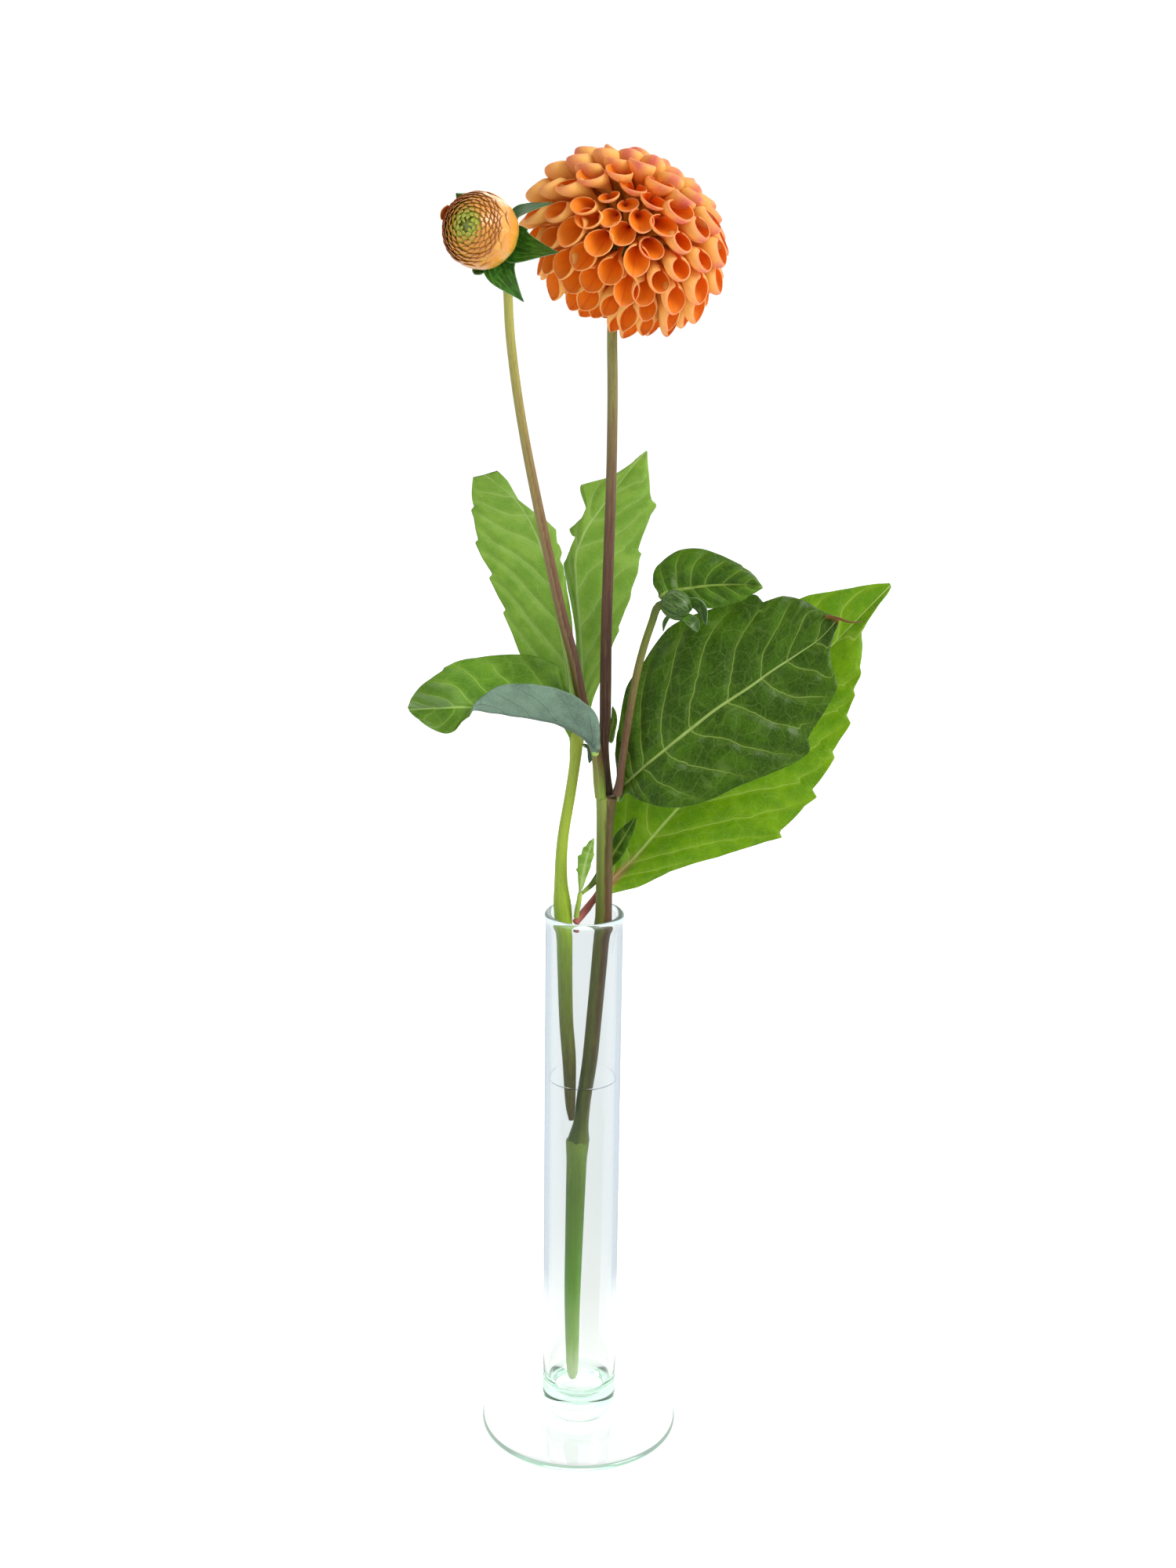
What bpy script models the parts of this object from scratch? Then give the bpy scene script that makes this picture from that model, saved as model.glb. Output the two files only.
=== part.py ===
"""Pompon dahlia in a footed glass bud vase.

One cut dahlia shoot stands in a slim glass tube on a round glass foot. It carries an open
pompon bloom, a half-open bud, a small closed bud and ten leaves.

Frame: metres, +Z up, origin at the centre of the foot's flat underside. The bloom and the
bud look towards -Y, which is the front. Routes and outlines below are in millimetres.
"""

import math

import bpy
import numpy as np
from mathutils import Vector

MM = 0.001

# ---------------------------------------------------------------- driving dimensions, mm
VASE_HEIGHT = 210.0
TUBE_OUTER_R = 14.0
TUBE_INNER_R = 12.2
HEEL_R = 5.0  # rounded lower corner of the tube
TUBE_SEAT_Z = 5.2  # the tube's underside, on top of the foot
TUBE_FLOOR_Z = 13.0  # lowest point of the round-bottomed bore
FOOT_R = 37.3
FOOT_EDGE = 2.7
FOOT_CROWN = 4.8  # the foot is slightly domed towards the tube

HEAD_CENTRE = (11.0, 4.0, 446.0)  # middle of the bloom
HEAD_TILT = 27.0  # the bloom's axis rises this many degrees above the horizontal
HEAD_TURN = -3.5  # and is turned this many degrees to the left of the front
HEAD_AXIAL, HEAD_WIDE, HEAD_HIGH = 29.0, 34.5, 31.0  # half sizes of the bloom
CORE_BACK = 3.0  # the receptacle lies this far behind the middle
CORE_R = 6.2
FLORETS_IN_RING = 13
FLORET_WIDE = 10.2
FLORET_THICK = 0.5
RING_ANGLES = (14, 29, 41.5, 53, 64, 74.5, 85, 95.5, 106.5, 118.5, 132.5)  # polar, degrees
GOLDEN = 137.508
STEM_SIDE = 191.0  # azimuth on the bloom where the stem comes in, from straight up, clockwise

BUD_CENTRE = (-35.5, -24.0, 449.5)
BUD_AXIS = (-0.376, -0.893, 0.240)
BUD_R = 12.4
SIDE_BUD_CENTRE = (29.9, -13.2, 326.4)

LEAF_THICK = 0.8

# routes of the stems: x, y, z and radius
STEMS = {
    "lower_stem": [(-2.6, 4, 15.0, 1.9), (-2.8, 4, 24, 2.5), (-3.0, 4, 50, 3.0), (-2.5, 4, 80, 3.5), (-1.9, 4, 108, 3.75), (-1.6, 4, 117, 3.85)],
    "main_stem": [(-1.3, 4, 117.6, 3.75), (-0.9, 4, 121, 3.2), (-0.4, 4, 125, 2.85), (0.5, 4, 134.5, 2.8), (2.6, 4, 150, 2.85), (4.0, 4, 166.5, 2.85), (5.0, 4.4, 179, 2.9), (6.0, 5, 191.5, 3.0), (6.9, 5, 205, 3.0), (7.0, 5, 220.5, 2.9), (7.0, 5, 239.5, 3.0), (7.4, 5, 251.5, 3.4)],
    "bloom_stem": [(7.7, 7.0, 252.8, 1.9), (6.7, 6.6, 262.5, 1.85), (6.1, 6.2, 271.5, 1.85), (6.5, 6.0, 280, 1.95), (6.5, 6, 292, 2.0), (6.5, 6, 314, 1.95), (7.0, 6, 341.5, 1.85), (7.5, 6.4, 368.5, 1.8), (7.5, 7, 395, 1.75), (7.1, 8.2, 413, 1.7), (7.3, 10.2, 425, 1.7), (8.6, 13.2, 431.5, 1.75), (10.3, 15.3, 436.6, 1.9), (11.4, 15.0, 440.0, 2.2)],
    "bud_stem": [(5.2, 3.2, 252.8, 1.95), (4.1, 3, 265, 1.9), (3.0, 2, 272.5, 2.1), (1.0, 1, 280, 1.95), (-1.9, 0, 289.5, 1.95), (-5, -1, 305, 1.9), (-9, -3, 320.5, 1.85), (-13.6, -5, 341.5, 1.75), (-17.6, -8, 361, 1.65), (-21.2, -10, 379.5, 1.6), (-24.2, -12, 398, 1.55), (-26.3, -14, 416, 1.5), (-27.0, -14.2, 428.5, 1.5), (-27.6, -11.6, 436.5, 1.55), (-28.6, -9.0, 441.6, 1.8), (-29.3, -8.0, 444.6, 2.1)],
    "branch_stem": [(-4.0, 0.6, 127.5, 1.0), (-4.5, 1.6, 134, 1.9), (-5.1, 2.6, 150.5, 2.5), (-6.4, 3, 167, 2.6), (-7.0, 3, 185, 2.8), (-7.3, 3, 199, 3.0), (-7.6, 3, 206, 3.1), (-8.6, 4, 221, 2.3), (-8.1, 6, 235.5, 2.0), (-5.6, 9, 251.5, 1.9), (-4.1, 11, 262, 1.9), (-3.6, 12, 267.5, 2.2)],
    "side_stem": [(11.2, 2.6, 254.2, 1.4), (11.9, 1.1, 258.5, 1.4), (13.0, -1, 270, 1.35), (14.6, -3, 283, 1.35), (17.0, -5.5, 299.5, 1.3), (19.5, -7.5, 311, 1.3), (22.0, -10, 320, 1.3), (23.6, -11.8, 325.4, 1.5)],
    "shoot_stem": [(-2.9, 1.2, 207.6, 1.0), (-2.6, 0.8, 210.5, 0.95), (-2.0, 0.2, 214, 0.9), (-1.6, 0, 217, 0.9)],
}

# leaves: one margin, the midrib and the other margin, base to tip
LEAVES = {
    "leaf_front_right": (
        [(10.9, 6.0, 251.6), (11.2, 6.5, 256.5), (10.6, 6.5, 262), (10.5, 6.5, 268), (11, 8, 278), (16.5, 12, 295), (29.5, 15, 311), (45.5, 17, 318.5), (61, 18, 322.5), (71.5, 19, 323), (81.5, 18, 319.5), (87.5, 15.5, 316.5)],
        [(11.5, 5.2, 251), (13.6, 4.2, 256), (16.5, 2.5, 260), (20, 1, 264), (27.5, 0.5, 271), (36.5, 3, 278), (46, 6, 285), (56.5, 9, 291.5), (65.5, 12, 297.5), (73.5, 14, 302.5), (82, 15, 308.5), (88, 15, 315.5)],
        [(11.9, 4.3, 250.4), (14.5, 2.5, 254.4), (17, 0, 254.3), (20.5, -3, 253.4), (29, -5, 252), (44, -4, 253.5), (59.5, -2, 260), (73, 1, 267), (80, 4, 274), (85, 7, 286), (87, 11, 299.5), (88.8, 14.5, 314.5)],
    ),
    "leaf_big_right": (
        [(-3.9, 5.6, 205), (0.2, 8.4, 209.3), (3.6, 10.4, 213.4), (7, 18, 217.5), (6, 24, 228), (11.5, 32, 246), (25, 37, 269.5), (42, 42, 292.5), (62, 46, 308), (85, 49, 317), (110.4, 50, 321.3)],
        [(-3.1, 5.0, 204), (0.8, 8.0, 208.3), (4.4, 10.2, 212.4), (10.5, 17, 216.5), (19, 22, 224), (30, 27, 236), (44, 32, 250.5), (60, 37, 267), (75.5, 42, 283), (91, 46, 299.5), (111, 50, 320.5)],
        [(-2.4, 4.2, 203), (1.6, 7.4, 207.2), (5.4, 10, 211.4), (13, 16, 212.4), (31.5, 18, 217.5), (51.5, 20, 224.5), (72.5, 23, 233), (85, 28, 247.5), (94, 34, 268.5), (100.5, 40, 293.5), (111.2, 50, 319.6)],
    ),
    "leaf_back_left": (
        [(-5.2, 14.5, 269.2), (-7.6, 14, 274), (-13.5, 14, 285), (-22.5, 14, 299.5), (-29, 15, 314), (-34, 16, 326.5), (-38, 18, 337), (-40, 20, 345), (-41.5, 22, 353), (-39, 26, 362.5)],
        [(-4.8, 14.9, 268.8), (-5.4, 15, 274), (-6.0, 15.4, 283), (-7.5, 17, 297), (-10, 19, 312), (-13, 21, 326.5), (-17, 23, 339), (-22, 25, 349.5), (-28.5, 27, 357), (-37, 28, 363.5)],
        [(-4.4, 15.3, 268.8), (-4.4, 16, 273), (-4.4, 17, 282.5), (-4.6, 20, 296), (-5.5, 23, 312.5), (-8, 25, 327), (-9.5, 26, 337.5), (-12.5, 28, 346), (-22, 30, 350), (-34, 29.5, 363.8)],
    ),
    "leaf_back_right": (
        [(-2.6, 15.6, 269.0), (-3.2, 17.2, 276), (-3.4, 20, 286), (-3.6, 23, 297), (-4.4, 26, 309), (-6.6, 28.6, 321), (-8.5, 30, 331.5), (-6.5, 30, 341.5), (-3, 32, 356), (9.5, 34, 364), (19.4, 36, 370.5)],
        [(-2.2, 15.2, 268.6), (-1.8, 15.6, 276), (-1.4, 16.5, 284), (-1.8, 18, 294.5), (-2.6, 20, 307), (-3.8, 22.5, 320), (-4.6, 25, 333.5), (-1.8, 27.5, 342.5), (4, 30, 351), (11.5, 33, 361), (20, 36, 371)],
        [(-1.7, 14.8, 268.6), (0.4, 14.8, 277), (2.5, 15.4, 285.5), (6, 17, 294), (9.5, 20, 304.5), (14, 23, 316), (17, 26, 327.5), (18.5, 29, 337), (22, 31, 349.5), (22.5, 33, 358.5), (20.5, 36, 370.4)],
    ),
    "leaf_folded": (
        [(3.9, -1.6, 270.6), (4.5, -4.2, 274.5), (3.6, -8, 285), (-1.5, -11, 292), (-10.5, -13, 296.5), (-20.5, -16, 299), (-29, -19, 299.5), (-36, -22, 296), (-40.5, -23, 289.5), (-47, -25, 284), (-55, -27, 286.5), (-59.5, -28.8, 292.2)],
        [(3.2, -1.4, 270.2), (3.2, -3.8, 273.8), (1, -4.4, 276), (-3.5, -5, 279.5), (-11.5, -7, 283.5), (-20.5, -10, 286), (-29, -13, 288), (-36.5, -16, 290), (-42.5, -19, 291.5), (-48, -22, 292), (-53.5, -25, 292.5), (-59.8, -29, 293)],
        [(2.5, -1.4, 270.6), (1.8, -2.8, 274.6), (-1.6, -2.2, 278), (-5.2, 3.2, 287.5), (-9.5, 8.6, 297), (-18, 10, 302), (-30, 8, 303.5), (-41, 4, 303), (-49, -2, 301), (-56, -10, 298.5), (-59.5, -19, 295.5), (-60.2, -28.6, 293.8)],
    ),
    "leaf_small_top": (
        [(24.4, -9.2, 328.8), (22.6, -3.5, 332), (24, 0, 337.5), (30, 1, 342), (37.5, 1, 343.5), (45, 0, 341.5), (52, -2, 338), (57, -4, 334.5), (59.4, -6, 331.8)],
        [(24.9, -9.0, 328.2), (27.4, -5.8, 329), (31, -5, 329.9), (35, -4.4, 330.4), (39, -4.2, 331), (44.5, -4, 331.5), (50, -5, 332), (55, -6, 332), (59.7, -6.2, 331.4)],
        [(25.4, -8.8, 327.7), (28.6, -6.2, 327.2), (32.4, -6.2, 326.2), (36.5, -7, 325.2), (41, -8, 324.6), (46.5, -8, 325.2), (52, -8, 327), (56.5, -7.4, 329.5), (59.4, -6.5, 331)],
    ),
    "shoot_leaf_pale": (
        [(-2.1, -0.2, 217.9), (-2.5, -2, 224.5), (-2.5, -3, 229.5), (-1, -4, 234.5), (1, -4.6, 238), (2.8, -5, 239.8)],
        [(-1.6, -0.3, 217.8), (-1, -1, 223.5), (0, -2, 229), (1, -3, 233.5), (2, -4.2, 237), (3, -5, 240)],
        [(-1.2, -0.2, 217.8), (0.5, 0, 223), (2, -1, 228), (3, -2, 232.5), (3.2, -3.6, 236.5), (3.2, -5, 239.9)],
    ),
    "shoot_leaf_dark": (
        [(-1.2, 1.6, 217.2), (0.6, 5.4, 217.8), (2.8, 10.4, 219), (6, 13.4, 224), (8.5, 13.6, 229.5), (11, 14, 235), (14.5, 14.4, 238.5), (17.8, 14.8, 241.3)],
        [(-0.8, 1.5, 216.7), (1.2, 5.4, 217.2), (3.6, 9.9, 218.2), (7.5, 12, 223.5), (10.5, 12, 228.5), (13, 12.6, 232.5), (15.5, 13.6, 236.5), (18.1, 14.8, 241.3)],
        [(-0.4, 1.4, 216.3), (1.8, 5.2, 216.6), (4.4, 9.4, 217.5), (9.5, 10.6, 223), (13.5, 10.8, 227.6), (15.5, 11.6, 231.5), (17.5, 13, 236.5), (18.4, 14.6, 241)],
    ),
    "leaf_tiny_right": (
        [(7.9, 8.6, 271.5), (8.2, 9.2, 275.5), (8.5, 9.6, 279), (8.8, 10, 281.5), (9.0, 10.2, 284)],
        [(8.5, 7.9, 271.2), (9.2, 8.3, 275.5), (9.8, 8.8, 279.5), (9.7, 9.4, 282), (9.1, 10.1, 284.3)],
        [(9.0, 7.0, 271.4), (10.2, 7.2, 275.5), (10.9, 7.8, 279.5), (10.4, 8.8, 282.5), (9.3, 9.9, 284.3)],
    ),
    "leaf_tiny_left": (
        [(-1.6, 10.6, 270), (-0.2, 8.6, 270), (0.4, 5.6, 268.6), (0.5, 4, 267), (0.9, 3.2, 265.3)],
        [(-1.3, 10.9, 269.4), (0.4, 8.4, 269.6), (1.4, 5.4, 268.6), (1.7, 4, 267), (1.1, 3.1, 265.1)],
        [(-1.0, 11.2, 268.9), (0.9, 8.8, 269), (2.3, 6, 268), (2.5, 4.4, 266.6), (1.3, 3.2, 265.1)],
    ),
}
SMALL_LEAVES = ("shoot_leaf_pale", "shoot_leaf_dark", "leaf_tiny_right", "leaf_tiny_left")

# bracts: base, middle and tip of the centre line, widest half width, and the way the face looks
BRACTS = {
    "bud_bract_upper": ((-28.4, -13.6, 449.6), (-22.9, -19.2, 458.4), (-12.5, -30, 458.8), 3.6, (-0.2, -0.6, 0.75)),
    "bud_bract_side": ((-27.2, -12.8, 446.6), (-21.8, -20.0, 443.8), (-10.5, -30, 443.4), 5.3, (-0.35, -0.85, 0.35)),
    "bud_bract_lower": ((-30.4, -13.2, 442.2), (-28.4, -19.8, 435.2), (-21.5, -25, 427.5), 4.3, (-0.1, -0.9, 0.3)),
    "bud_bract_stub": ((-32.6, -12.4, 443.2), (-36.8, -18.8, 436.2), (-38.0, -22.6, 434.0), 2.2, (0.1, -0.7, 0.6)),
    "bud_bract_back": ((-33.4, -11.4, 448.6), (-40.6, -13.8, 457.8), (-43.4, -19.0, 460.6), 4.4, (0.4, -0.7, -0.5)),
    "side_bud_bract_right": ((34.0, -11.0, 328.6), (38.2, -14.2, 326.6), (40.2, -15.2, 319.8), 2.2, (-0.5, -0.8, -0.2)),
    "side_bud_bract_middle": ((32.2, -16.6, 321.2), (35.6, -17.0, 321.4), (37.4, -16.4, 317.8), 2.0, (0.2, -0.9, 0.3)),
    "side_bud_bract_low": ((26.8, -10.2, 321.2), (26.0, -10.6, 319.2), (25.8, -10.4, 316.6), 0.9, (-0.2, -0.9, -0.2)),
}

COLOURS = {
    "glass": ((0.86, 0.93, 0.92), 0.03),
    "stem": ((0.10, 0.055, 0.032), 0.45),
    "stem_green": ((0.33, 0.34, 0.035), 0.45),
    "leaf": ((0.045, 0.16, 0.012), 0.40),
    "leaf_light": ((0.17, 0.37, 0.02), 0.45),
    "floret": ((0.83, 0.19, 0.012), 0.55),
    "bud_floret": ((0.62, 0.33, 0.05), 0.40),
    "bract": ((0.03, 0.14, 0.03), 0.42),
}


# ---------------------------------------------------------------- helpers
def clear():
    for ob in list(bpy.data.objects):
        bpy.data.objects.remove(ob, do_unlink=True)


def material(name, key):
    colour, rough = COLOURS[key]
    mat = bpy.data.materials.new(name)
    mat.use_nodes = True
    shader = mat.node_tree.nodes["Principled BSDF"]
    shader.inputs["Base Color"].default_value = (*colour, 1.0)
    shader.inputs["Roughness"].default_value = rough
    shader.inputs["Metallic"].default_value = 0.0
    if key == "glass":
        shader.inputs["Transmission Weight"].default_value = 1.0
        shader.inputs["IOR"].default_value = 1.5
    return mat


def add(name, data, key):
    ob = bpy.data.objects.new(name, data)
    data.materials.append(material(name + "_finish", key))
    PARTS.objects.link(ob)
    return ob


def mesh_from(name, verts, faces):
    me = bpy.data.meshes.new(name)
    me.from_pydata([tuple(float(c) for c in v) for v in verts], [], faces)
    me.validate()
    me.update()
    me.shade_smooth()
    return me


def smooth_route(points, count):
    """Catmull-Rom curve through the points, read at even steps of the point number."""
    p = np.asarray(points, float)
    p = np.vstack([2 * p[0] - p[1], p, 2 * p[-1] - p[-2]])
    out = []
    for u in np.linspace(0, len(p) - 3, count):
        i = min(int(u), len(p) - 4)
        t = u - i
        a, b, c, d = p[i], p[i + 1], p[i + 2], p[i + 3]
        out.append(0.5 * (2 * b + (c - a) * t + (2 * a - 5 * b + 4 * c - d) * t * t + (3 * b - a - 3 * c + d) * t ** 3))
    return np.array(out)


def unit(v):
    v = np.asarray(v, float)
    return v / np.linalg.norm(v)


def stem(name, route, key):
    """A round stem: a poly curve with a bevel and filled caps."""
    count = 2 * len(route) - 1 if len(route) > 4 else len(route) + 2
    pts = smooth_route(route, count)
    cu = bpy.data.curves.new(name, "CURVE")
    cu.dimensions = "3D"
    cu.bevel_depth = MM
    cu.bevel_resolution = 2
    cu.use_fill_caps = True
    sp = cu.splines.new("POLY")
    sp.points.add(len(pts) - 1)
    for q, (x, y, z, r) in zip(sp.points, pts):
        q.co = (x * MM, y * MM, z * MM, 1.0)
        q.radius = r
    return add(name, cu, key)


def solidify(ob, thick):
    m = ob.modifiers.new("thickness", "SOLIDIFY")
    m.thickness = thick * MM
    m.offset = 0.0
    return m


def leaf(name, rails, key):
    """A leaf blade lofted over its two margins and its midrib, given a thickness."""
    small = name in SMALL_LEAVES
    along = 6 if small else 11
    left, mid, right = (smooth_route(r, along + 1) for r in rails)
    verts, faces = [], []
    cols = 3 if small else 5
    for a, m, b in zip(left, mid, right):
        if small:
            verts += [a, m, b]
        else:
            verts += [a, (a + m) / 2, m, (m + b) / 2, b]
    for i in range(along):
        for j in range(cols - 1):
            k = i * cols + j
            faces.append((k, k + 1, k + cols + 1, k + cols))
    ob = add(name, mesh_from(name, np.array(verts) * MM, faces), key)
    solidify(ob, 0.5 if small else LEAF_THICK)
    return ob


def bract(name, base, middle, tip, half, face, key, around=None):
    """A small pointed leaf under a bud, gently boat shaped. Given the centre and radius of the bud,
    it first hugs the bud and then bends away from it."""
    points = [base, middle, tip]
    if around is not None:
        centre, radius = np.array(around[0]), around[1]
        lift = unit(unit(np.array(base) - centre) + unit(np.array(middle) - centre))
        points = [base, centre + radius * lift, middle, tip]
    route = smooth_route(points, 8)
    verts, faces = [], []
    last = len(route) - 1
    for i, p in enumerate(route):
        t = i / last
        look = unit(face)
        if around is not None:
            look = unit(unit(centre - p) * max(0.0, 1 - 1.6 * t) + look * min(1.0, 1.6 * t))
        d = unit(route[min(i + 1, last)] - route[max(i - 1, 0)])
        side = unit(np.cross(d, look))
        up = np.cross(side, d)
        w = half * (0.16 + 0.84 * math.sin(math.pi * min(1.0, 0.06 + t * 0.84)) ** 1.5) if i < last else 0.3
        verts += [p - side * w + up * 0.12 * w, p, p + side * w + up * 0.12 * w]
    for i in range(last):
        for j in range(2):
            k = i * 3 + j
            faces.append((k, k + 1, k + 4, k + 3))
    ob = add(name, mesh_from(name, np.array(verts) * MM, faces), key)
    solidify(ob, 0.5)
    return ob


def turned(name, profile, key, steps=40):
    """A solid of revolution about Z from an (r, z) profile, run from the top down its outer side."""
    me = bpy.data.meshes.new(name)
    pts = [(r * MM, 0.0, z * MM) for r, z in profile]
    me.from_pydata(pts, [(i, i + 1) for i in range(len(pts) - 1)], [])
    ob = add(name, me, key)
    m = ob.modifiers.new("turn", "SCREW")
    m.axis = "Z"
    m.angle = 2 * math.pi
    m.steps = steps
    m.render_steps = steps
    m.use_merge_vertices = True
    m.merge_threshold = 0.00001
    m.use_smooth_shade = True
    return ob


# ---------------------------------------------------------------- vase
def arc(cx, cz, r, a0, a1, n):
    return [(cx + r * math.cos(math.radians(a)), cz + r * math.sin(math.radians(a))) for a in np.linspace(a0, a1, n)]


def vase():
    lip = (TUBE_OUTER_R - TUBE_INNER_R) / 2
    mid = TUBE_INNER_R + lip
    # bore: half round bottom, flattened to the floor height
    bore = [(TUBE_INNER_R * math.sin(math.radians(a)), TUBE_FLOOR_Z + 8.5 * (1 - math.cos(math.radians(a)))) for a in (0, 22, 44, 66, 90)]
    profile = [(bore[0][0], bore[0][1])] + bore[1:]
    profile += [(TUBE_INNER_R, VASE_HEIGHT - 6.0)]
    profile += arc(mid, VASE_HEIGHT - lip * 1.25, lip * 1.25, 180, 0, 7)
    profile += [(TUBE_OUTER_R, VASE_HEIGHT - 6.0)]
    profile += arc(TUBE_OUTER_R - HEEL_R, TUBE_SEAT_Z + HEEL_R, HEEL_R, 0, -90, 5)
    profile += [(0.0, TUBE_SEAT_Z)]
    profile[0] = (0.0, TUBE_FLOOR_Z)
    turned("vase_tube", profile, "glass")

    e = FOOT_EDGE / 2
    foot = [(0.0, FOOT_CROWN), (10.0, FOOT_CROWN), (18.0, 4.3), (28.0, 3.4), (FOOT_R - e - 1.0, FOOT_EDGE + 0.15)]
    foot += arc(FOOT_R - e, e, e, 80, -80, 7)
    foot += [(FOOT_R - e - 0.4, 0.0), (0.0, 0.0)]
    turned("vase_foot", foot, "glass")


# ---------------------------------------------------------------- bloom
def head_frame():
    """The bloom's axis, its 'up' across the axis, and its 'right', seen from the front."""
    t, h = math.radians(HEAD_TILT), math.radians(HEAD_TURN)
    axis = unit((math.sin(h) * math.cos(t), -math.cos(h) * math.cos(t), math.sin(t)))
    right = unit(np.cross(axis, (0, 0, -1)))
    right = right if right[0] > 0 else -right
    up = unit((0, 0, 1) - np.dot((0, 0, 1), axis) * axis)
    return axis, up, right


def head_point(theta, phi, dist=None, share=1.0):
    """A point of the bloom from polar angle theta and azimuth phi (from up, clockwise), degrees:
    on its rounded outside, or at a distance from the receptacle's centre."""
    axis, up, right = head_frame()
    core = np.array(HEAD_CENTRE) - CORE_BACK * axis
    th, ph = math.radians(theta), math.radians(phi)
    d = math.cos(th) * axis + math.sin(th) * (math.cos(ph) * up + math.sin(ph) * right)
    if dist is None:
        scale = np.array([1 / HEAD_AXIAL, 1 / HEAD_HIGH, 1 / HEAD_WIDE])
        o = np.array([-CORE_BACK, 0, 0]) * scale
        v = np.array([d @ axis, d @ up, d @ right]) * scale
        a, b, c = v @ v, 2 * o @ v, o @ o - 1
        dist = (-b + math.sqrt(b * b - 4 * a * c)) / (2 * a) * share
    return core + dist * d, dist


def azimuth_gap(phi, other):
    return abs((phi - other + 180) % 360 - 180)


def floret_ring(number, theta):
    """One whorl of florets joined by a narrow collar round the receptacle. Each floret widens
    outwards, is gently cupped towards the eye of the bloom and ends in a blunt point."""
    n = FLORETS_IN_RING
    r0, r1 = CORE_R + 0.45, CORE_R + 2.0
    start = STEM_SIDE if theta > 112 else number * n * GOLDEN
    late = theta > 100
    verts, faces = [], []

    def put(th, ph, dist):
        verts.append(head_point(th, ph, dist)[0])
        return len(verts) - 1

    step = 360.0 / n
    grid = []
    for k in range(n):
        phi = start + k * step
        near = azimuth_gap(phi, STEM_SIDE)
        share = 0.985
        if late:
            share *= 0.72 if near < 15 else 0.86 if near < 40 else 1.0
        elif theta > 90 and near < 30:
            share *= 0.88
        drop = theta > 112 and near < 12  # the stem comes in here, so the floret is missing
        full = head_point(theta, phi, None, share)[1]
        s = max(0.2, math.sin(math.radians(theta)))

        def half(dist, wide):
            return min(0.44 * step, math.degrees(0.5 * wide / (dist * s)))

        rows = []
        for dist, wide, cup in ((r0, 99, 0), (r1, 99, 0), (0.62 * full, 0.8 * FLORET_WIDE, 2.6), (0.90 * full, 0.86 * FLORET_WIDE, 4.0)):
            h = half(dist, wide) if wide < 99 else 0.40 * step
            rows.append([put(theta - cup, phi - h, dist), put(theta, phi, dist), put(theta - cup, phi + h, dist)])
        tip = put(theta - 1.5, phi, full)
        grid.append((rows, tip, drop))
    for k in range(n):
        rows, tip, drop = grid[k]
        after = grid[(k + 1) % n][0]
        faces.append((rows[0][0], rows[0][1], rows[1][1], rows[1][0]))
        faces.append((rows[0][1], rows[0][2], rows[1][2], rows[1][1]))
        faces.append((rows[0][2], after[0][0], after[1][0], rows[1][2]))
        if drop:
            continue
        for i in (1, 2):
            faces.append((rows[i][0], rows[i][1], rows[i + 1][1], rows[i + 1][0]))
            faces.append((rows[i][1], rows[i][2], rows[i + 1][2], rows[i + 1][1]))
        faces.append((rows[3][0], rows[3][1], tip))
        faces.append((rows[3][1], rows[3][2], tip))
    used = sorted({i for f in faces for i in f})
    place = {v: i for i, v in enumerate(used)}
    me = mesh_from("florets", np.array([verts[i] for i in used]) * MM, [tuple(place[i] for i in f) for f in faces])
    ob = add(f"floret_ring_{number:02d}", me, "floret")
    solidify(ob, FLORET_THICK)


def ball(name, centre, axis, radii, key, segments=16, rings=10, cut=None):
    """A closed oval body about an axis."""
    import bmesh

    bm = bmesh.new()
    bmesh.ops.create_uvsphere(bm, u_segments=segments, v_segments=rings, radius=1.0)
    axis = Vector(unit(axis))
    turn = axis.to_track_quat("Z", "Y").to_matrix()
    for v in bm.verts:
        p = Vector((v.co.x * radii[0], v.co.y * radii[0], v.co.z * (radii[1] if v.co.z > 0 else radii[2])))
        v.co = (turn @ p + Vector(centre)) * MM
    me = bpy.data.meshes.new(name)
    bm.to_mesh(me)
    bm.free()
    me.shade_smooth()
    return add(name, me, key)


def cup(name, centre, axis, inner, outer, low, high, key, segments=16):
    """A cup of a round shell about an axis, from polar angle low to high, closed at the back.
    Its wall lies between two spheres, open towards the front."""
    axis = unit(axis)
    side = unit(np.cross(axis, (0.3, 0.2, 0.9)))
    other = np.cross(axis, side)
    verts, faces = [], []
    rows = []
    angles = np.linspace(low, high, 5)
    for radius, order in ((outer, angles), (inner, angles[::-1])):
        for th in order:
            t = math.radians(th)
            if th >= 179.9:
                verts.append(np.array(centre) + radius * math.cos(t) * axis)
                rows.append([len(verts) - 1] * segments)
                continue
            row = []
            for k in range(segments):
                p = 2 * math.pi * k / segments
                d = math.cos(t) * axis + math.sin(t) * (math.cos(p) * side + math.sin(p) * other)
                verts.append(np.array(centre) + radius * d)
                row.append(len(verts) - 1)
            rows.append(row)
    n = len(rows)
    for i in range(n):
        a, b = rows[i], rows[(i + 1) % n]
        for k in range(segments):
            f = [a[k], a[(k + 1) % segments], b[(k + 1) % segments], b[k]]
            f = [v for j, v in enumerate(f) if v not in f[:j]]
            if len(f) >= 3:
                faces.append(tuple(f))
    me = mesh_from(name, np.array(verts) * MM, faces)
    ob = add(name, me, key)
    face_out(me)
    return ob


def face_out(me):
    import bmesh

    bm = bmesh.new()
    bm.from_mesh(me)
    bmesh.ops.recalc_face_normals(bm, faces=bm.faces)
    bm.to_mesh(me)
    bm.free()


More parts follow.
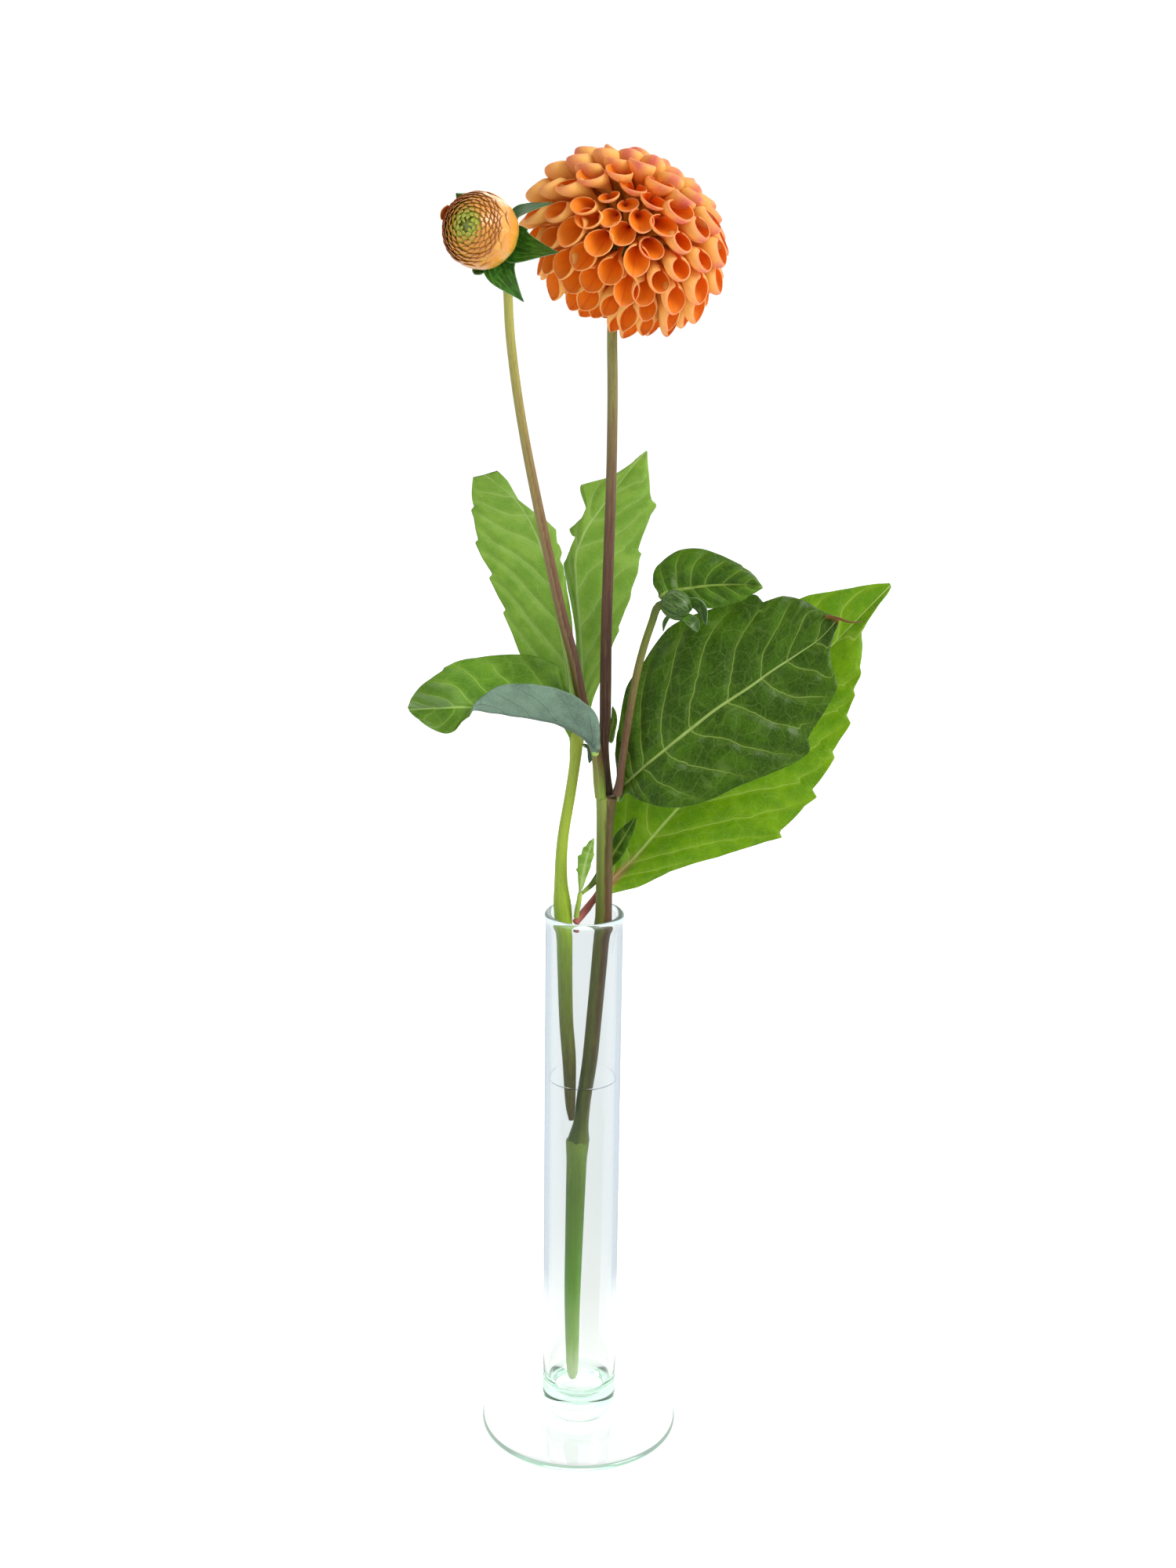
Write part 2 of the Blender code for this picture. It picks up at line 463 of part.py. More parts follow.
def bloom():
    axis, up, right = head_frame()
    core = np.array(HEAD_CENTRE) - CORE_BACK * axis
    ball("bloom_receptacle", core, axis, (CORE_R, CORE_R, CORE_R), "stem_green", 16, 10)
    cup("bloom_calyx", core, axis, CORE_R + 0.4, CORE_R + 1.7, 146, 180, "bract")
    ball("bloom_eye", core + axis * 17.5, axis, (2.5, 8.0, 10.4), "floret", 10, 8)
    for number, theta in enumerate(RING_ANGLES, 1):
        floret_ring(number, theta)


def buds():
    c = np.array(BUD_CENTRE)
    axis = unit(BUD_AXIS)
    ball("bud_core", c, axis, (BUD_R - 1.6, BUD_R - 1.2, BUD_R - 1.8), "bud_floret", 18, 12)
    cup("bud_outer_florets", c, axis, BUD_R - 1.2, BUD_R, 58, 168, "bud_floret", 18)
    ball("bud_receptacle", c - axis * (BUD_R + 1.3), axis, (3.0, 1.0, 1.0), "bract", 12, 6)
    ball("side_bud", SIDE_BUD_CENTRE, (0.75, -0.35, -0.35), (4.8, 4.4, 4.0), "bract", 14, 10)
    for name, (base, middle, tip, half, face) in BRACTS.items():
        around = (BUD_CENTRE, BUD_R + 1.5) if name.startswith("bud") else None
        bract(name, base, middle, tip, half, face, "bract", around)


# ---------------------------------------------------------------- build
clear()
PARTS = bpy.data.collections.new("pompon_dahlia")
bpy.context.scene.collection.children.link(PARTS)
vase()
for stem_name, route in STEMS.items():
    stem(stem_name, route, "stem_green" if stem_name in ("lower_stem", "branch_stem", "shoot_stem") else "stem")
for leaf_name, rails in LEAVES.items():
    leaf(leaf_name, rails, "leaf_light" if leaf_name in ("leaf_big_right", "leaf_back_left", "leaf_back_right") else "leaf")
bloom()
buds()
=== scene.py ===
import math

import bpy
import numpy as np
from mathutils import Matrix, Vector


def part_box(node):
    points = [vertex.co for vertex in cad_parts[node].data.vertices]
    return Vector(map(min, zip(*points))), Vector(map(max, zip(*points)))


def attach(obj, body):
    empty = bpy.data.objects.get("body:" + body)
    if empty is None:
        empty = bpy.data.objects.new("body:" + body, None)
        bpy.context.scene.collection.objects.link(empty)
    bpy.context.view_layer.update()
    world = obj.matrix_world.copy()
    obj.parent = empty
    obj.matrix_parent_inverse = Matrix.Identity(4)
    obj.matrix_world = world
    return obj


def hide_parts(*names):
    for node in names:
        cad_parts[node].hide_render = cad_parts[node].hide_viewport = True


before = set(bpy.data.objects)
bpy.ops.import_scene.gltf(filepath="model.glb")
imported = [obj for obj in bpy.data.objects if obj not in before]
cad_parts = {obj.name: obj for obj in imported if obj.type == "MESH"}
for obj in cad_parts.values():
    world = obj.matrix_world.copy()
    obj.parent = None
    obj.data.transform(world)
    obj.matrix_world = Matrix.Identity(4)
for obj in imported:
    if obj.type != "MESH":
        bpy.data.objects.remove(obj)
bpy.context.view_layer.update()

MM = 0.001


# ================================================================ small helpers
def lin(hexcode):
    """sRGB hex to linear RGB."""
    c = [int(hexcode[i:i + 2], 16) / 255 for i in (1, 3, 5)]
    return tuple(x / 12.92 if x <= 0.04045 else ((x + 0.055) / 1.055) ** 2.4 for x in c)


def unit(v):
    v = np.asarray(v, float)
    return v / np.maximum(np.linalg.norm(v, axis=-1, keepdims=True), 1e-12)


def smooth(x, a, b):
    t = np.clip((np.asarray(x, float) - a) / (b - a), 0, 1)
    return t * t * (3 - 2 * t)


def route(points, u):
    """Catmull-Rom curve through the points at the given shares (0..1) of the point number."""
    p = np.asarray(points, float)
    p = np.vstack([2 * p[0] - p[1], p, 2 * p[-1] - p[-2]])
    u = np.clip(np.asarray(u, float), 0, 1) * (len(p) - 3)
    i = np.minimum(u.astype(int), len(p) - 4)
    t = (u - i)[..., None]
    a, b, c, d = p[i], p[i + 1], p[i + 2], p[i + 3]
    return 0.5 * (2 * b + (c - a) * t + (2 * a - 5 * b + 4 * c - d) * t * t + (3 * b - a - 3 * c + d) * t ** 3)


def ripple(x, y, seed, waves=5, low=0.6, high=2.0):
    """Smooth pseudo-random field of a few sine waves, about -1..1."""
    g = np.random.default_rng(seed)
    out = 0.0
    for _ in range(waves):
        a, f, ph = g.uniform(0, 2 * math.pi), g.uniform(low, high), g.uniform(0, 2 * math.pi)
        out = out + np.sin(f * (np.cos(a) * x + np.sin(a) * y) + ph)
    return out / math.sqrt(waves)


class Pile:
    """Collects vertices, faces and point attributes of several shells into one mesh."""

    def __init__(self):
        self.v, self.f, self.a, self.n = [], [], {}, 0

    def add(self, verts, faces, **attrs):
        self.v.append(np.asarray(verts, float).reshape(-1, 3))
        k = len(self.v[-1])
        self.f += [tuple(i + self.n for i in face) for face in faces]
        for name, values in attrs.items():
            self.a.setdefault(name, []).append(np.asarray(values, float).reshape(-1, 3))
        self.n += k

    def piece(self, name, mat, slot, replaces=()):
        me = bpy.data.meshes.new(name)
        me.from_pydata((np.concatenate(self.v) * MM).tolist(), [], self.f)
        for key, parts in self.a.items():
            data = np.concatenate(parts).astype(np.float32)
            me.attributes.new(key, "FLOAT_VECTOR", "POINT").data.foreach_set("vector", data.ravel())
        me.shade_smooth()
        me.materials.append(mat)
        ob = bpy.data.objects.new(name, me)
        bpy.context.scene.collection.objects.link(ob)
        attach(ob, "root")
        if replaces:
            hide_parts(*replaces)
        return ob


def slab(grid, thick, share=0.5):
    """A closed thin shell about a grid of points: two skins that meet in a sharp margin.
    Returns vertices, faces, the grid index of each vertex and its side (1 front, 0 back, .5 margin)."""
    n, m = grid.shape[:2]
    normal = unit(np.cross(np.gradient(grid, axis=0), np.gradient(grid, axis=1)))
    thick = np.broadcast_to(np.asarray(thick, float), (n, m))[..., None]
    inner = np.zeros((n, m), bool)
    inner[1:-1, 1:-1] = True
    top = np.where(inner[..., None], grid + normal * thick * (1 - share), grid)
    bottom = (grid - normal * thick * share)[inner]
    flat = np.arange(n * m).reshape(n, m)
    under = flat.copy()
    under[inner] = n * m + np.arange(inner.sum())
    faces = []
    for table, back in ((flat, False), (under, True)):
        a, b, c, d = table[:-1, :-1], table[1:, :-1], table[1:, 1:], table[:-1, 1:]
        quads = np.stack([a, b, c, d] if not back else [d, c, b, a], -1).reshape(-1, 4)
        faces += quads.tolist()
    index = np.concatenate([flat.ravel(), flat[inner]])
    side = np.concatenate([np.where(inner, 1.0, 0.5).ravel(), np.zeros(inner.sum())])
    return np.concatenate([top.reshape(-1, 3), bottom]), faces, index, side


# ================================================================ shader helper
class Shader:
    def __init__(self, name, **inputs):
        self.mat = bpy.data.materials.new(name)
        self.mat.use_nodes = True
        self.t = self.mat.node_tree
        self.t.nodes.clear()
        self.out = self.node("ShaderNodeOutputMaterial")
        self.b = self.node("ShaderNodeBsdfPrincipled")
        self.t.links.new(self.b.outputs[0], self.out.inputs["Surface"])
        for key, value in inputs.items():
            self.b.inputs[key.replace("_", " ")].default_value = value

    def node(self, kind, **props):
        n = self.t.nodes.new(kind)
        for k, v in props.items():
            setattr(n, k, v)
        return n

    def put(self, socket, value):
        if isinstance(value, bpy.types.NodeSocket):
            self.t.links.new(value, socket)
        elif isinstance(value, (tuple, list)):
            value = tuple(value)
            socket.default_value = value + (1.0,) if len(socket.default_value) == 4 and len(value) == 3 else value
        else:
            socket.default_value = value

    def m(self, op, a, b=None, c=None, clamp=False):
        n = self.node("ShaderNodeMath", operation=op, use_clamp=clamp)
        for i, x in enumerate((a, b, c)):
            if x is not None:
                self.put(n.inputs[i], x)
        return n.outputs[0]

    def attr(self, name):
        n = self.node("ShaderNodeAttribute", attribute_name=name, attribute_type="GEOMETRY")
        s = self.node("ShaderNodeSeparateXYZ")
        self.t.links.new(n.outputs["Vector"], s.inputs[0])
        return s.outputs[0], s.outputs[1], s.outputs[2]

    def vec(self, x, y, z=0.0):
        n = self.node("ShaderNodeCombineXYZ")
        for s, v in zip(n.inputs, (x, y, z)):
            self.put(s, v)
        return n.outputs[0]

    def place(self):
        return self.node("ShaderNodeNewGeometry").outputs["Position"]

    def mix(self, fac, a, b, blend="MIX"):
        n = self.node("ShaderNodeMix", data_type="RGBA", blend_type=blend)
        self.put(n.inputs[0], fac)
        self.put(n.inputs[6], a)
        self.put(n.inputs[7], b)
        return n.outputs[2]

    def ramp(self, fac, *stops):
        n = self.node("ShaderNodeValToRGB")
        e = n.color_ramp.elements
        while len(e) < len(stops):
            e.new(0.5)
        for slot, (at, colour) in zip(e, stops):
            slot.position = at
        for slot, (at, colour) in zip(e, stops):
            slot.position = at
            colour = lin(colour) if isinstance(colour, str) else (colour,) * 3
            slot.color = (*colour, 1.0)
        self.put(n.inputs[0], fac)
        return n.outputs[0]

    def step(self, x, a, b):
        """Smooth step of x from a to b, which may run downwards."""
        n = self.node("ShaderNodeMapRange", interpolation_type="SMOOTHSTEP", clamp=True)
        self.put(n.inputs[0], x)
        if isinstance(a, (int, float)) and isinstance(b, (int, float)) and a > b:
            self.put(n.inputs[1], b)
            self.put(n.inputs[2], a)
            self.put(n.inputs[3], 1.0)
            self.put(n.inputs[4], 0.0)
        else:
            self.put(n.inputs[1], a)
            self.put(n.inputs[2], b)
        return n.outputs[0]

    def noise(self, vector, scale, detail=3.0, rough=0.5, distort=0.0):
        n = self.node("ShaderNodeTexNoise")
        self.put(n.inputs["Vector"], vector)
        self.put(n.inputs["Scale"], scale)
        self.put(n.inputs["Detail"], detail)
        self.put(n.inputs["Roughness"], rough)
        self.put(n.inputs["Distortion"], distort)
        return n.outputs[0]

    def edges(self, vector, scale, random=1.0):
        n = self.node("ShaderNodeTexVoronoi", feature="DISTANCE_TO_EDGE")
        self.put(n.inputs["Vector"], vector)
        self.put(n.inputs["Scale"], scale)
        self.put(n.inputs["Randomness"], random)
        return n.outputs["Distance"]

    def bump(self, height, strength, distance):
        n = self.node("ShaderNodeBump")
        self.put(n.inputs["Strength"], strength)
        self.put(n.inputs["Distance"], distance)
        self.put(n.inputs["Height"], height)
        self.t.links.new(n.outputs[0], self.b.inputs["Normal"])
        return n.outputs[0]

    def glow_through(self, colour, share, normal=None):
        """Some of the light that falls on the far side of thin tissue comes through it."""
        tr = self.node("ShaderNodeBsdfTranslucent")
        self.put(tr.inputs[0], colour)
        mix = self.node("ShaderNodeMixShader")
        self.put(mix.inputs[0], share)
        self.t.links.new(self.b.outputs[0], mix.inputs[1])
        self.t.links.new(tr.outputs[0], mix.inputs[2])
        self.t.links.new(mix.outputs[0], self.out.inputs["Surface"])


# ================================================================ materials
def floret_material():
    s = Shader("dahlia_floret", Roughness=0.55, Sheen_Weight=0.06, Sheen_Roughness=0.4, Specular_IOR_Level=0.2)
    u, v, side = s.attr("fa")
    rnd, pink, rim = s.attr("fb")
    av = s.m("ABSOLUTE", v)
    fibre = s.noise(s.vec(s.m("MULTIPLY", v, 9.0), s.m("MULTIPLY", u, 1.6), s.m("MULTIPLY", rnd, 37.0)), 2.2, 3.0, 0.6)
    cloud = s.noise(s.vec(s.m("MULTIPLY", v, 1.2), s.m("MULTIPLY", u, 3.0), s.m("MULTIPLY", rnd, 91.0)), 1.4, 2.0)
    inner = s.ramp(u, (0.20, "#FF7404"), (0.50, "#FF8006"), (0.70, "#FC8608"), (0.84, "#FD981E"), (0.93, "#FAA644"), (1.0, "#F8B066"))
    inner = s.mix(s.m("MULTIPLY", s.step(av, 0.05, 0.0), 0.35), inner, lin("#E05A08"))
    outer = s.ramp(u, (0.35, "#F8B430"), (0.62, "#FDCE56"), (0.84, "#FEDC78"), (0.95, "#FDD078"), (1.0, "#F8BE72"))
    keel = s.m("MULTIPLY_ADD", cloud, 0.36, av)
    mauve = s.m("MULTIPLY", s.step(keel, 0.52, 0.16), s.step(u, 0.66, 0.96))
    mauve = s.m("MAXIMUM", mauve, s.m("MULTIPLY", s.step(s.m("MULTIPLY_ADD", cloud, 1.6, rim), 2.4, 0.6), 0.50))
    mauve = s.m("MULTIPLY", mauve, pink, clamp=True)
    outer = s.mix(mauve, outer, lin("#DE7C78"))
    skin = s.mix(s.step(side, 0.35, 0.65), outer, inner)
    edge = s.m("MULTIPLY", s.step(rim, 0.45, 0.08), 0.6)
    rimcolour = s.mix(pink, lin("#F8B468"), lin("#F0A070"))
    skin = s.mix(edge, skin, rimcolour)
    skin = s.mix(s.m("MULTIPLY", s.step(fibre, 0.45, 0.72), 0.14), skin, lin("#FFC060"))
    skin = s.mix(s.m("MULTIPLY", s.step(fibre, 0.5, 0.25), 0.14), skin, lin("#E0661A"))
    s.put(s.b.inputs["Base Color"], skin)
    s.bump(s.m("ADD", fibre, s.m("MULTIPLY", cloud, 0.5)), 0.3, 0.0005)
    s.glow_through(s.mix(0.25, skin, lin("#FFAE30")), 0.38)
    return s.mat


def leaf_material(name, upper, upper_dark, upper_light, vein, under, under_vein, gloss, thin, glow, blush=0.0, dry=0.0, end_dark=0.0):
    s = Shader(name, Specular_IOR_Level=0.22)
    t, q, side = s.attr("la")
    phase, gap, margin = s.attr("lb")
    x, y, rnd = s.attr("lc")
    aq = s.m("ABSOLUTE", q)
    flat = s.vec(x, y, s.m("MULTIPLY", rnd, 50.0))
    warp = s.noise(flat, 0.16, 2.0)
    off = s.m("SUBTRACT", warp, 0.5)
    bent = s.vec(s.m("MULTIPLY_ADD", off, 5.0, x), s.m("MULTIPLY_ADD", off, -4.0, y), rnd)
    # lateral veins: distance to the nearest whole phase, in mm
    wob = s.m("MULTIPLY_ADD", off, 0.20, phase)
    lat = s.m("MULTIPLY", s.m("ABSOLUTE", s.m("SUBTRACT", s.m("FRACT", s.m("ADD", wob, 0.5)), 0.5)), gap)
    width = s.m("MULTIPLY_ADD", aq, -0.20, 0.38)
    lateral = s.m("MULTIPLY", s.step(s.m("DIVIDE", lat, width), 1.0, 0.25), s.step(aq, 1.0, 0.7))
    halo = s.step(lat, 2.4, 0.0)
    mid_w = s.m("MULTIPLY_ADD", t, -0.85, 1.15)
    mid = s.step(s.m("DIVIDE", s.m("ABSOLUTE", y), mid_w), 1.0, 0.45)
    net = s.edges(bent, 0.17, 0.85)
    link = s.m("MULTIPLY", s.step(net, 0.045, 0.008), 0.13)
    fine = s.edges(bent, 0.62, 0.9)
    mesh = s.m("MULTIPLY", s.step(fine, 0.10, 0.02), 0.07)
    veins = s.m("MAXIMUM", s.m("MAXIMUM", mid, s.m("MULTIPLY", lateral, 0.52)), s.m("MAXIMUM", link, mesh), clamp=True)
    mottle = s.noise(flat, 0.12, 4.0, 0.6)
    grain = s.noise(flat, 1.7, 2.0, 0.5)
    top = s.mix(s.step(mottle, 0.38, 0.66), upper_dark, upper)
    top = s.mix(s.m("MULTIPLY", halo, 0.30), top, upper_light)
    top = s.mix(s.m("MULTIPLY", s.step(grain, 0.45, 0.75), 0.28), top, upper_light)
    top = s.mix(s.m("MULTIPLY", veins, 0.85), top, vein)
    low = s.mix(s.m("MULTIPLY", s.step(mottle, 0.66, 0.34), 0.55 if end_dark else 0.22), under, tuple(0.45 * c for c in under))
    low = s.mix(s.m("MULTIPLY", s.step(grain, 0.4, 0.7), 0.20), low, under_vein)
    low = s.mix(s.m("MULTIPLY", s.m("MAXIMUM", veins, s.m("MULTIPLY", lateral, 0.9)), 0.55), low, tuple(0.4 * c for c in under))
    if end_dark:
        top = s.mix(s.m("MULTIPLY", s.step(t, 0.66, 0.86), end_dark), top, tuple(0.30 * c for c in upper))
    skin = s.mix(s.step(side, 0.35, 0.65), low, top)
    if blush:
        red = s.m("MULTIPLY", s.step(s.m("ABSOLUTE", y), 2.4, 0.7), s.step(t, 0.46, 0.20))
        skin = s.mix(s.m("MULTIPLY", red, blush), skin, lin("#CE6470"))
    if dry:
        brown = s.m("MULTIPLY", s.step(s.m("MULTIPLY_ADD", s.m("SUBTRACT", mottle, 0.5), 0.10, t), 0.975, 0.995), dry)
        skin = s.mix(brown, skin, lin("#6E4A22"))
    s.put(s.b.inputs["Base Color"], skin)
    rough = s.m("MULTIPLY_ADD", grain, 0.22, gloss)
    s.put(s.b.inputs["Roughness"], rough)
    height = s.m("ADD", s.m("MULTIPLY", grain, 0.35), s.m("MULTIPLY", s.m("SUBTRACT", 1.0, s.m("MAXIMUM", link, mesh)), 0.55))
    s.bump(s.m("MULTIPLY_ADD", s.step(lat, 0.0, 2.6), 1.5, height), 0.55, 0.0004)
    s.glow_through(s.mix(0.5, skin, glow), thin)
    return s.mat


def stem_material(name, *stops, strip=None, strip_amount=0.0, gloss=0.42):
    """Colour along the stem from its foot, fine lengthwise ribs, specks, and a strip of another
    colour down the side that faces left."""
    s = Shader(name, Specular_IOR_Level=0.45, Subsurface_Weight=0.12, Subsurface_Scale=0.001)
    u, around, left = s.attr("sa")
    x, y, z = s.attr("sb")
    ribs = s.noise(s.vec(s.m("MULTIPLY", x, 1.0), y, s.m("MULTIPLY", z, 0.05)), 2.6, 3.0, 0.6)
    spots = s.noise(s.vec(x, y, s.m("MULTIPLY", z, 0.35)), 1.4, 4.0, 0.65)
    shift = s.m("MULTIPLY_ADD", s.m("SUBTRACT", ribs, 0.5), 0.22, u)
    c = s.ramp(shift, *stops)
    if strip:
        c = s.mix(s.m("MULTIPLY", s.step(s.m("MULTIPLY_ADD", s.m("SUBTRACT", ribs, 0.5), 0.5, left), 0.15, 0.45), strip_amount), c, s.ramp(u, *strip))
    c = s.mix(s.m("MULTIPLY", s.step(ribs, 0.52, 0.72), 0.14), c, lin("#A9A85C"))
    c = s.mix(s.m("MULTIPLY", s.step(ribs, 0.46, 0.28), 0.22), c, lin("#2C2412"))
    c = s.mix(s.m("MULTIPLY", s.step(spots, 0.60, 0.74), 0.30), c, lin("#4A2A1C"))
    s.put(s.b.inputs["Base Color"], c)
    s.put(s.b.inputs["Roughness"], s.m("MULTIPLY_ADD", spots, 0.25, gloss - 0.12))
    s.bump(ribs, 0.4, 0.0004)
    return s.mat


def bract_material(name, dark, light):
    s = Shader(name, Specular_IOR_Level=0.5)
    t, q, side = s.attr("la")
    x, y, rnd = s.attr("lc")
    lines = s.m("ABSOLUTE", s.m("SUBTRACT", s.m("FRACT", s.m("MULTIPLY_ADD", q, 3.0, 0.5)), 0.5))
    vein = s.m("MULTIPLY", s.step(lines, 0.08, 0.01), s.step(t, 1.02, 0.75))
    flat = s.vec(s.m("MULTIPLY", x, 0.35), y, s.m("MULTIPLY", rnd, 40.0))
    streak = s.noise(flat, 1.3, 3.0, 0.6)
    c = s.mix(s.step(streak, 0.4, 0.66), dark, light)
    c = s.mix(s.m("MULTIPLY", s.step(t, 0.45, 0.0), 0.8), c, lin("#6AA024"))
    c = s.mix(s.m("MULTIPLY", vein, 0.26), c, lin("#A8BC80"))
    low = s.mix(s.m("MULTIPLY", vein, 0.4), lin("#5E8E70"), lin("#B0C8A0"))
    c = s.mix(s.step(side, 0.35, 0.65), low, c)
    s.put(s.b.inputs["Base Color"], c)
    s.put(s.b.inputs["Roughness"], s.m("MULTIPLY_ADD", streak, 0.25, 0.24))
    s.bump(s.m("ADD", streak, s.m("MULTIPLY", vein, -0.6)), 0.4, 0.0003)
    s.glow_through(lin("#7FB040"), 0.12)
    return s.mat


def bud_material():
    """Young florets: waxy yellow-orange, brown-orange towards the tip, green near the eye."""
    s = Shader("bud_floret", Roughness=0.3, Specular_IOR_Level=0.6, Coat_Weight=0.5, Coat_Roughness=0.16, Subsurface_Weight=0.15, Subsurface_Scale=0.0012)
    u, v, side = s.attr("fa")
    rnd, age, rim = s.attr("fb")
    av = s.m("ABSOLUTE", v)
    fibre = s.noise(s.vec(s.m("MULTIPLY", v, 5.0), s.m("MULTIPLY", u, 1.2), s.m("MULTIPLY", rnd, 37.0)), 1.8, 3.0, 0.6)
    body = s.ramp(u, (0.0, "#86A212"), (0.40, "#A4A61C"), (0.60, "#CC982A"), (0.78, "#D89238"), (0.92, "#D08838"), (1.0, "#BC7830"))
    young = s.ramp(u, (0.0, "#6E9410"), (0.72, "#94AC1C"), (0.92, "#A8A83A"), (1.0, "#9C8A34"))
    c = s.mix(s.step(age, 0.05, 0.20), young, body)
    c = s.mix(s.step(age, 0.0, -0.3), c, lin("#5A7C10"))
    tip = s.m("MULTIPLY", s.step(u, 0.84, 0.95), s.m("MULTIPLY", s.step(age, 0.95, 0.70), s.step(age, 0.04, 0.16)))
    c = s.mix(s.m("MULTIPLY", tip, 0.80), c, lin("#A05C26"))
    c = s.mix(s.m("MULTIPLY", s.step(s.m("ADD", av, s.m("MULTIPLY", fibre, 0.25)), 0.80, 1.10), 0.28), c, lin("#E4BC74"))
    c = s.mix(s.m("MULTIPLY", s.step(fibre, 0.46, 0.70), 0.18), c, lin("#E8BC60"))
    c = s.mix(s.m("MULTIPLY", s.step(fibre, 0.48, 0.25), 0.14), c, lin("#CC7A34"))
    c = s.mix(s.step(side, 0.6, 0.9), c, lin("#A85A20"))
    s.put(s.b.inputs["Base Color"], c)
    s.bump(fibre, 0.12, 0.0003)
    return s.mat


def glass_material():
    """Clear soda glass, green where it is thick, with the faint waves of a drawn tube."""
    s = Shader("vase_glass", Transmission_Weight=1.0, IOR=1.5, Roughness=0.0)
    height = s.node("ShaderNodeSeparateXYZ")
    s.t.links.new(s.place(), height.inputs[0])
    s.put(s.b.inputs["Base Color"], s.mix(s.step(height.outputs[2], 0.04, 0.11), (0.995, 1.0, 0.998), (0.958, 0.972, 0.984)))
    wave = s.noise(s.place(), 55.0, 1.0, 0.4)
    s.bump(wave, 0.05, 0.0004)
    smear = s.noise(s.place(), 130.0, 4.0, 0.6)
    s.put(s.b.inputs["Roughness"], s.m("MULTIPLY", s.step(smear, 0.55, 0.85), 0.03))
    # painted glow: the rounded edge of the foot gets an emission colour for the little light it gathers from inside the
    # glass
    flat = s.node("ShaderNodeVectorMath", operation="MULTIPLY")
    s.t.links.new(s.place(), flat.inputs[0])
    flat.inputs[1].default_value = (1.0, 1.0, 0.0)
    out = s.node("ShaderNodeVectorMath", operation="LENGTH")
    s.t.links.new(flat.outputs[0], out.inputs[0])
    edge = s.mix(s.step(out.outputs["Value"], 0.0358, 0.0366), (0.0, 0.0, 0.0), (0.46, 0.60, 0.52))
    # painted glow too on the fire-polished lip, and a dimmer one on the heel where the tube meets the foot
    s.put(s.b.inputs["Emission Color"], s.mix(s.step(height.outputs[2], 0.2080, 0.2092), s.mix(s.m("MULTIPLY", s.m("MULTIPLY", s.step(out.outputs["Value"], 0.0106, 0.0118), s.step(out.outputs["Value"], 0.0160, 0.0146)), s.step(height.outputs[2], 0.0150, 0.0115)), edge, (0.17, 0.23, 0.19)), (0.20, 0.25, 0.23)))
    s.b.inputs["Emission Strength"].default_value = 0.8
    vol = s.node("ShaderNodeVolumeAbsorption")
    vol.inputs["Color"].default_value = (0.52, 0.90, 0.70, 1.0)
    vol.inputs["Density"].default_value = 22.0
    s.t.links.new(vol.outputs[0], s.out.inputs["Volume"])
    return s.mat


def water_material():
    s = Shader("vase_water", Transmission_Weight=1.0, IOR=1.04, Roughness=0.0, Base_Color=(0.99, 0.995, 1.0, 1.0))
    wave = s.noise(s.place(), 90.0, 1.0, 0.4)
    s.bump(wave, 0.03, 0.0003)
    return s.mat


FLORET = floret_material()
LEAF_DARK = leaf_material("leaf_dark", lin("#3C6606"), lin("#2B4E04"), lin("#5A8212"), lin("#8CA64C"), lin("#5E7E64"), lin("#93AC94"), 0.24, 0.14, lin("#70A00C"))
LEAF_FRONT = leaf_material("leaf_front", lin("#385C04"), lin("#284602"), lin("#52740E"), lin("#94AC5C"), lin("#5E7E64"), lin("#93AC94"), 0.22, 0.12, lin("#6A980A"), dry=0.9)
# the big back leaf: its own light green, made brighter still with painted backlight glow on top of the real see-through
# share
LEAF_PAINTED_BACKLIT = leaf_material("leaf_painted_backlit", lin("#76A204"), lin("#5E8E02"), lin("#98BC1C"), lin("#C4DA7C"), lin("#749A40"), lin("#A8C080"), 0.30, 0.36, lin("#A0D008"), blush=0.9)
LEAF_PALE = leaf_material("leaf_pale", lin("#84AC3E"), lin("#6E9A2E"), lin("#98BA58"), lin("#A8C476"), lin("#7C9C5E"), lin("#A8BE8C"), 0.42, 0.30, lin("#A0C83C"))
LEAF_FOLD = leaf_material("leaf_fold", lin("#62901E"), lin("#4A780E"), lin("#82AC38"), lin("#A8CC68"), lin("#6E8A76"), lin("#A0B4A4"), 0.30, 0.14, lin("#80B018"), end_dark=0.55)
BRACT = bract_material("bract_tissue", lin("#1E5210"), lin("#3C7A20"))
BRACT_OLIVE = bract_material("bract_tissue_side_bud", lin("#2C4C12"), lin("#52742A"))
BUD = bud_material()
GLASS = glass_material()
WATER = water_material()

# ================================================================ the vase
TUBE_R, BORE_R, VASE_H = 14.0, 12.2, 210.0
SEGMENTS = 160


def lathe(profile, segments=SEGMENTS):
    """A closed surface of revolution: the profile starts and ends on the axis."""
    p = np.asarray(profile, float)
    ang = np.linspace(0, 2 * math.pi, segments, endpoint=False)
    verts = [(0.0, 0.0, p[0][1])]
    rows = []
    for r, z in p[1:-1]:
        rows.append(len(verts))
        verts += [(r * math.cos(a), r * math.sin(a), z) for a in ang]
    verts.append((0.0, 0.0, p[-1][1]))
    last = len(verts) - 1
    faces = []
    for k in range(segments):
        j = (k + 1) % segments
        faces.append((0, rows[0] + k, rows[0] + j))
        for a, b in zip(rows[:-1], rows[1:]):
            faces.append((a + k, b + k, b + j, a + j))
        faces.append((last, rows[-1] + j, rows[-1] + k))
    return np.array(verts), faces


def bend(cx, cz, r, a0, a1, n):
    a = np.radians(np.linspace(a0, a1, n))
    return list(zip(cx + r * np.cos(a), cz + r * np.sin(a)))


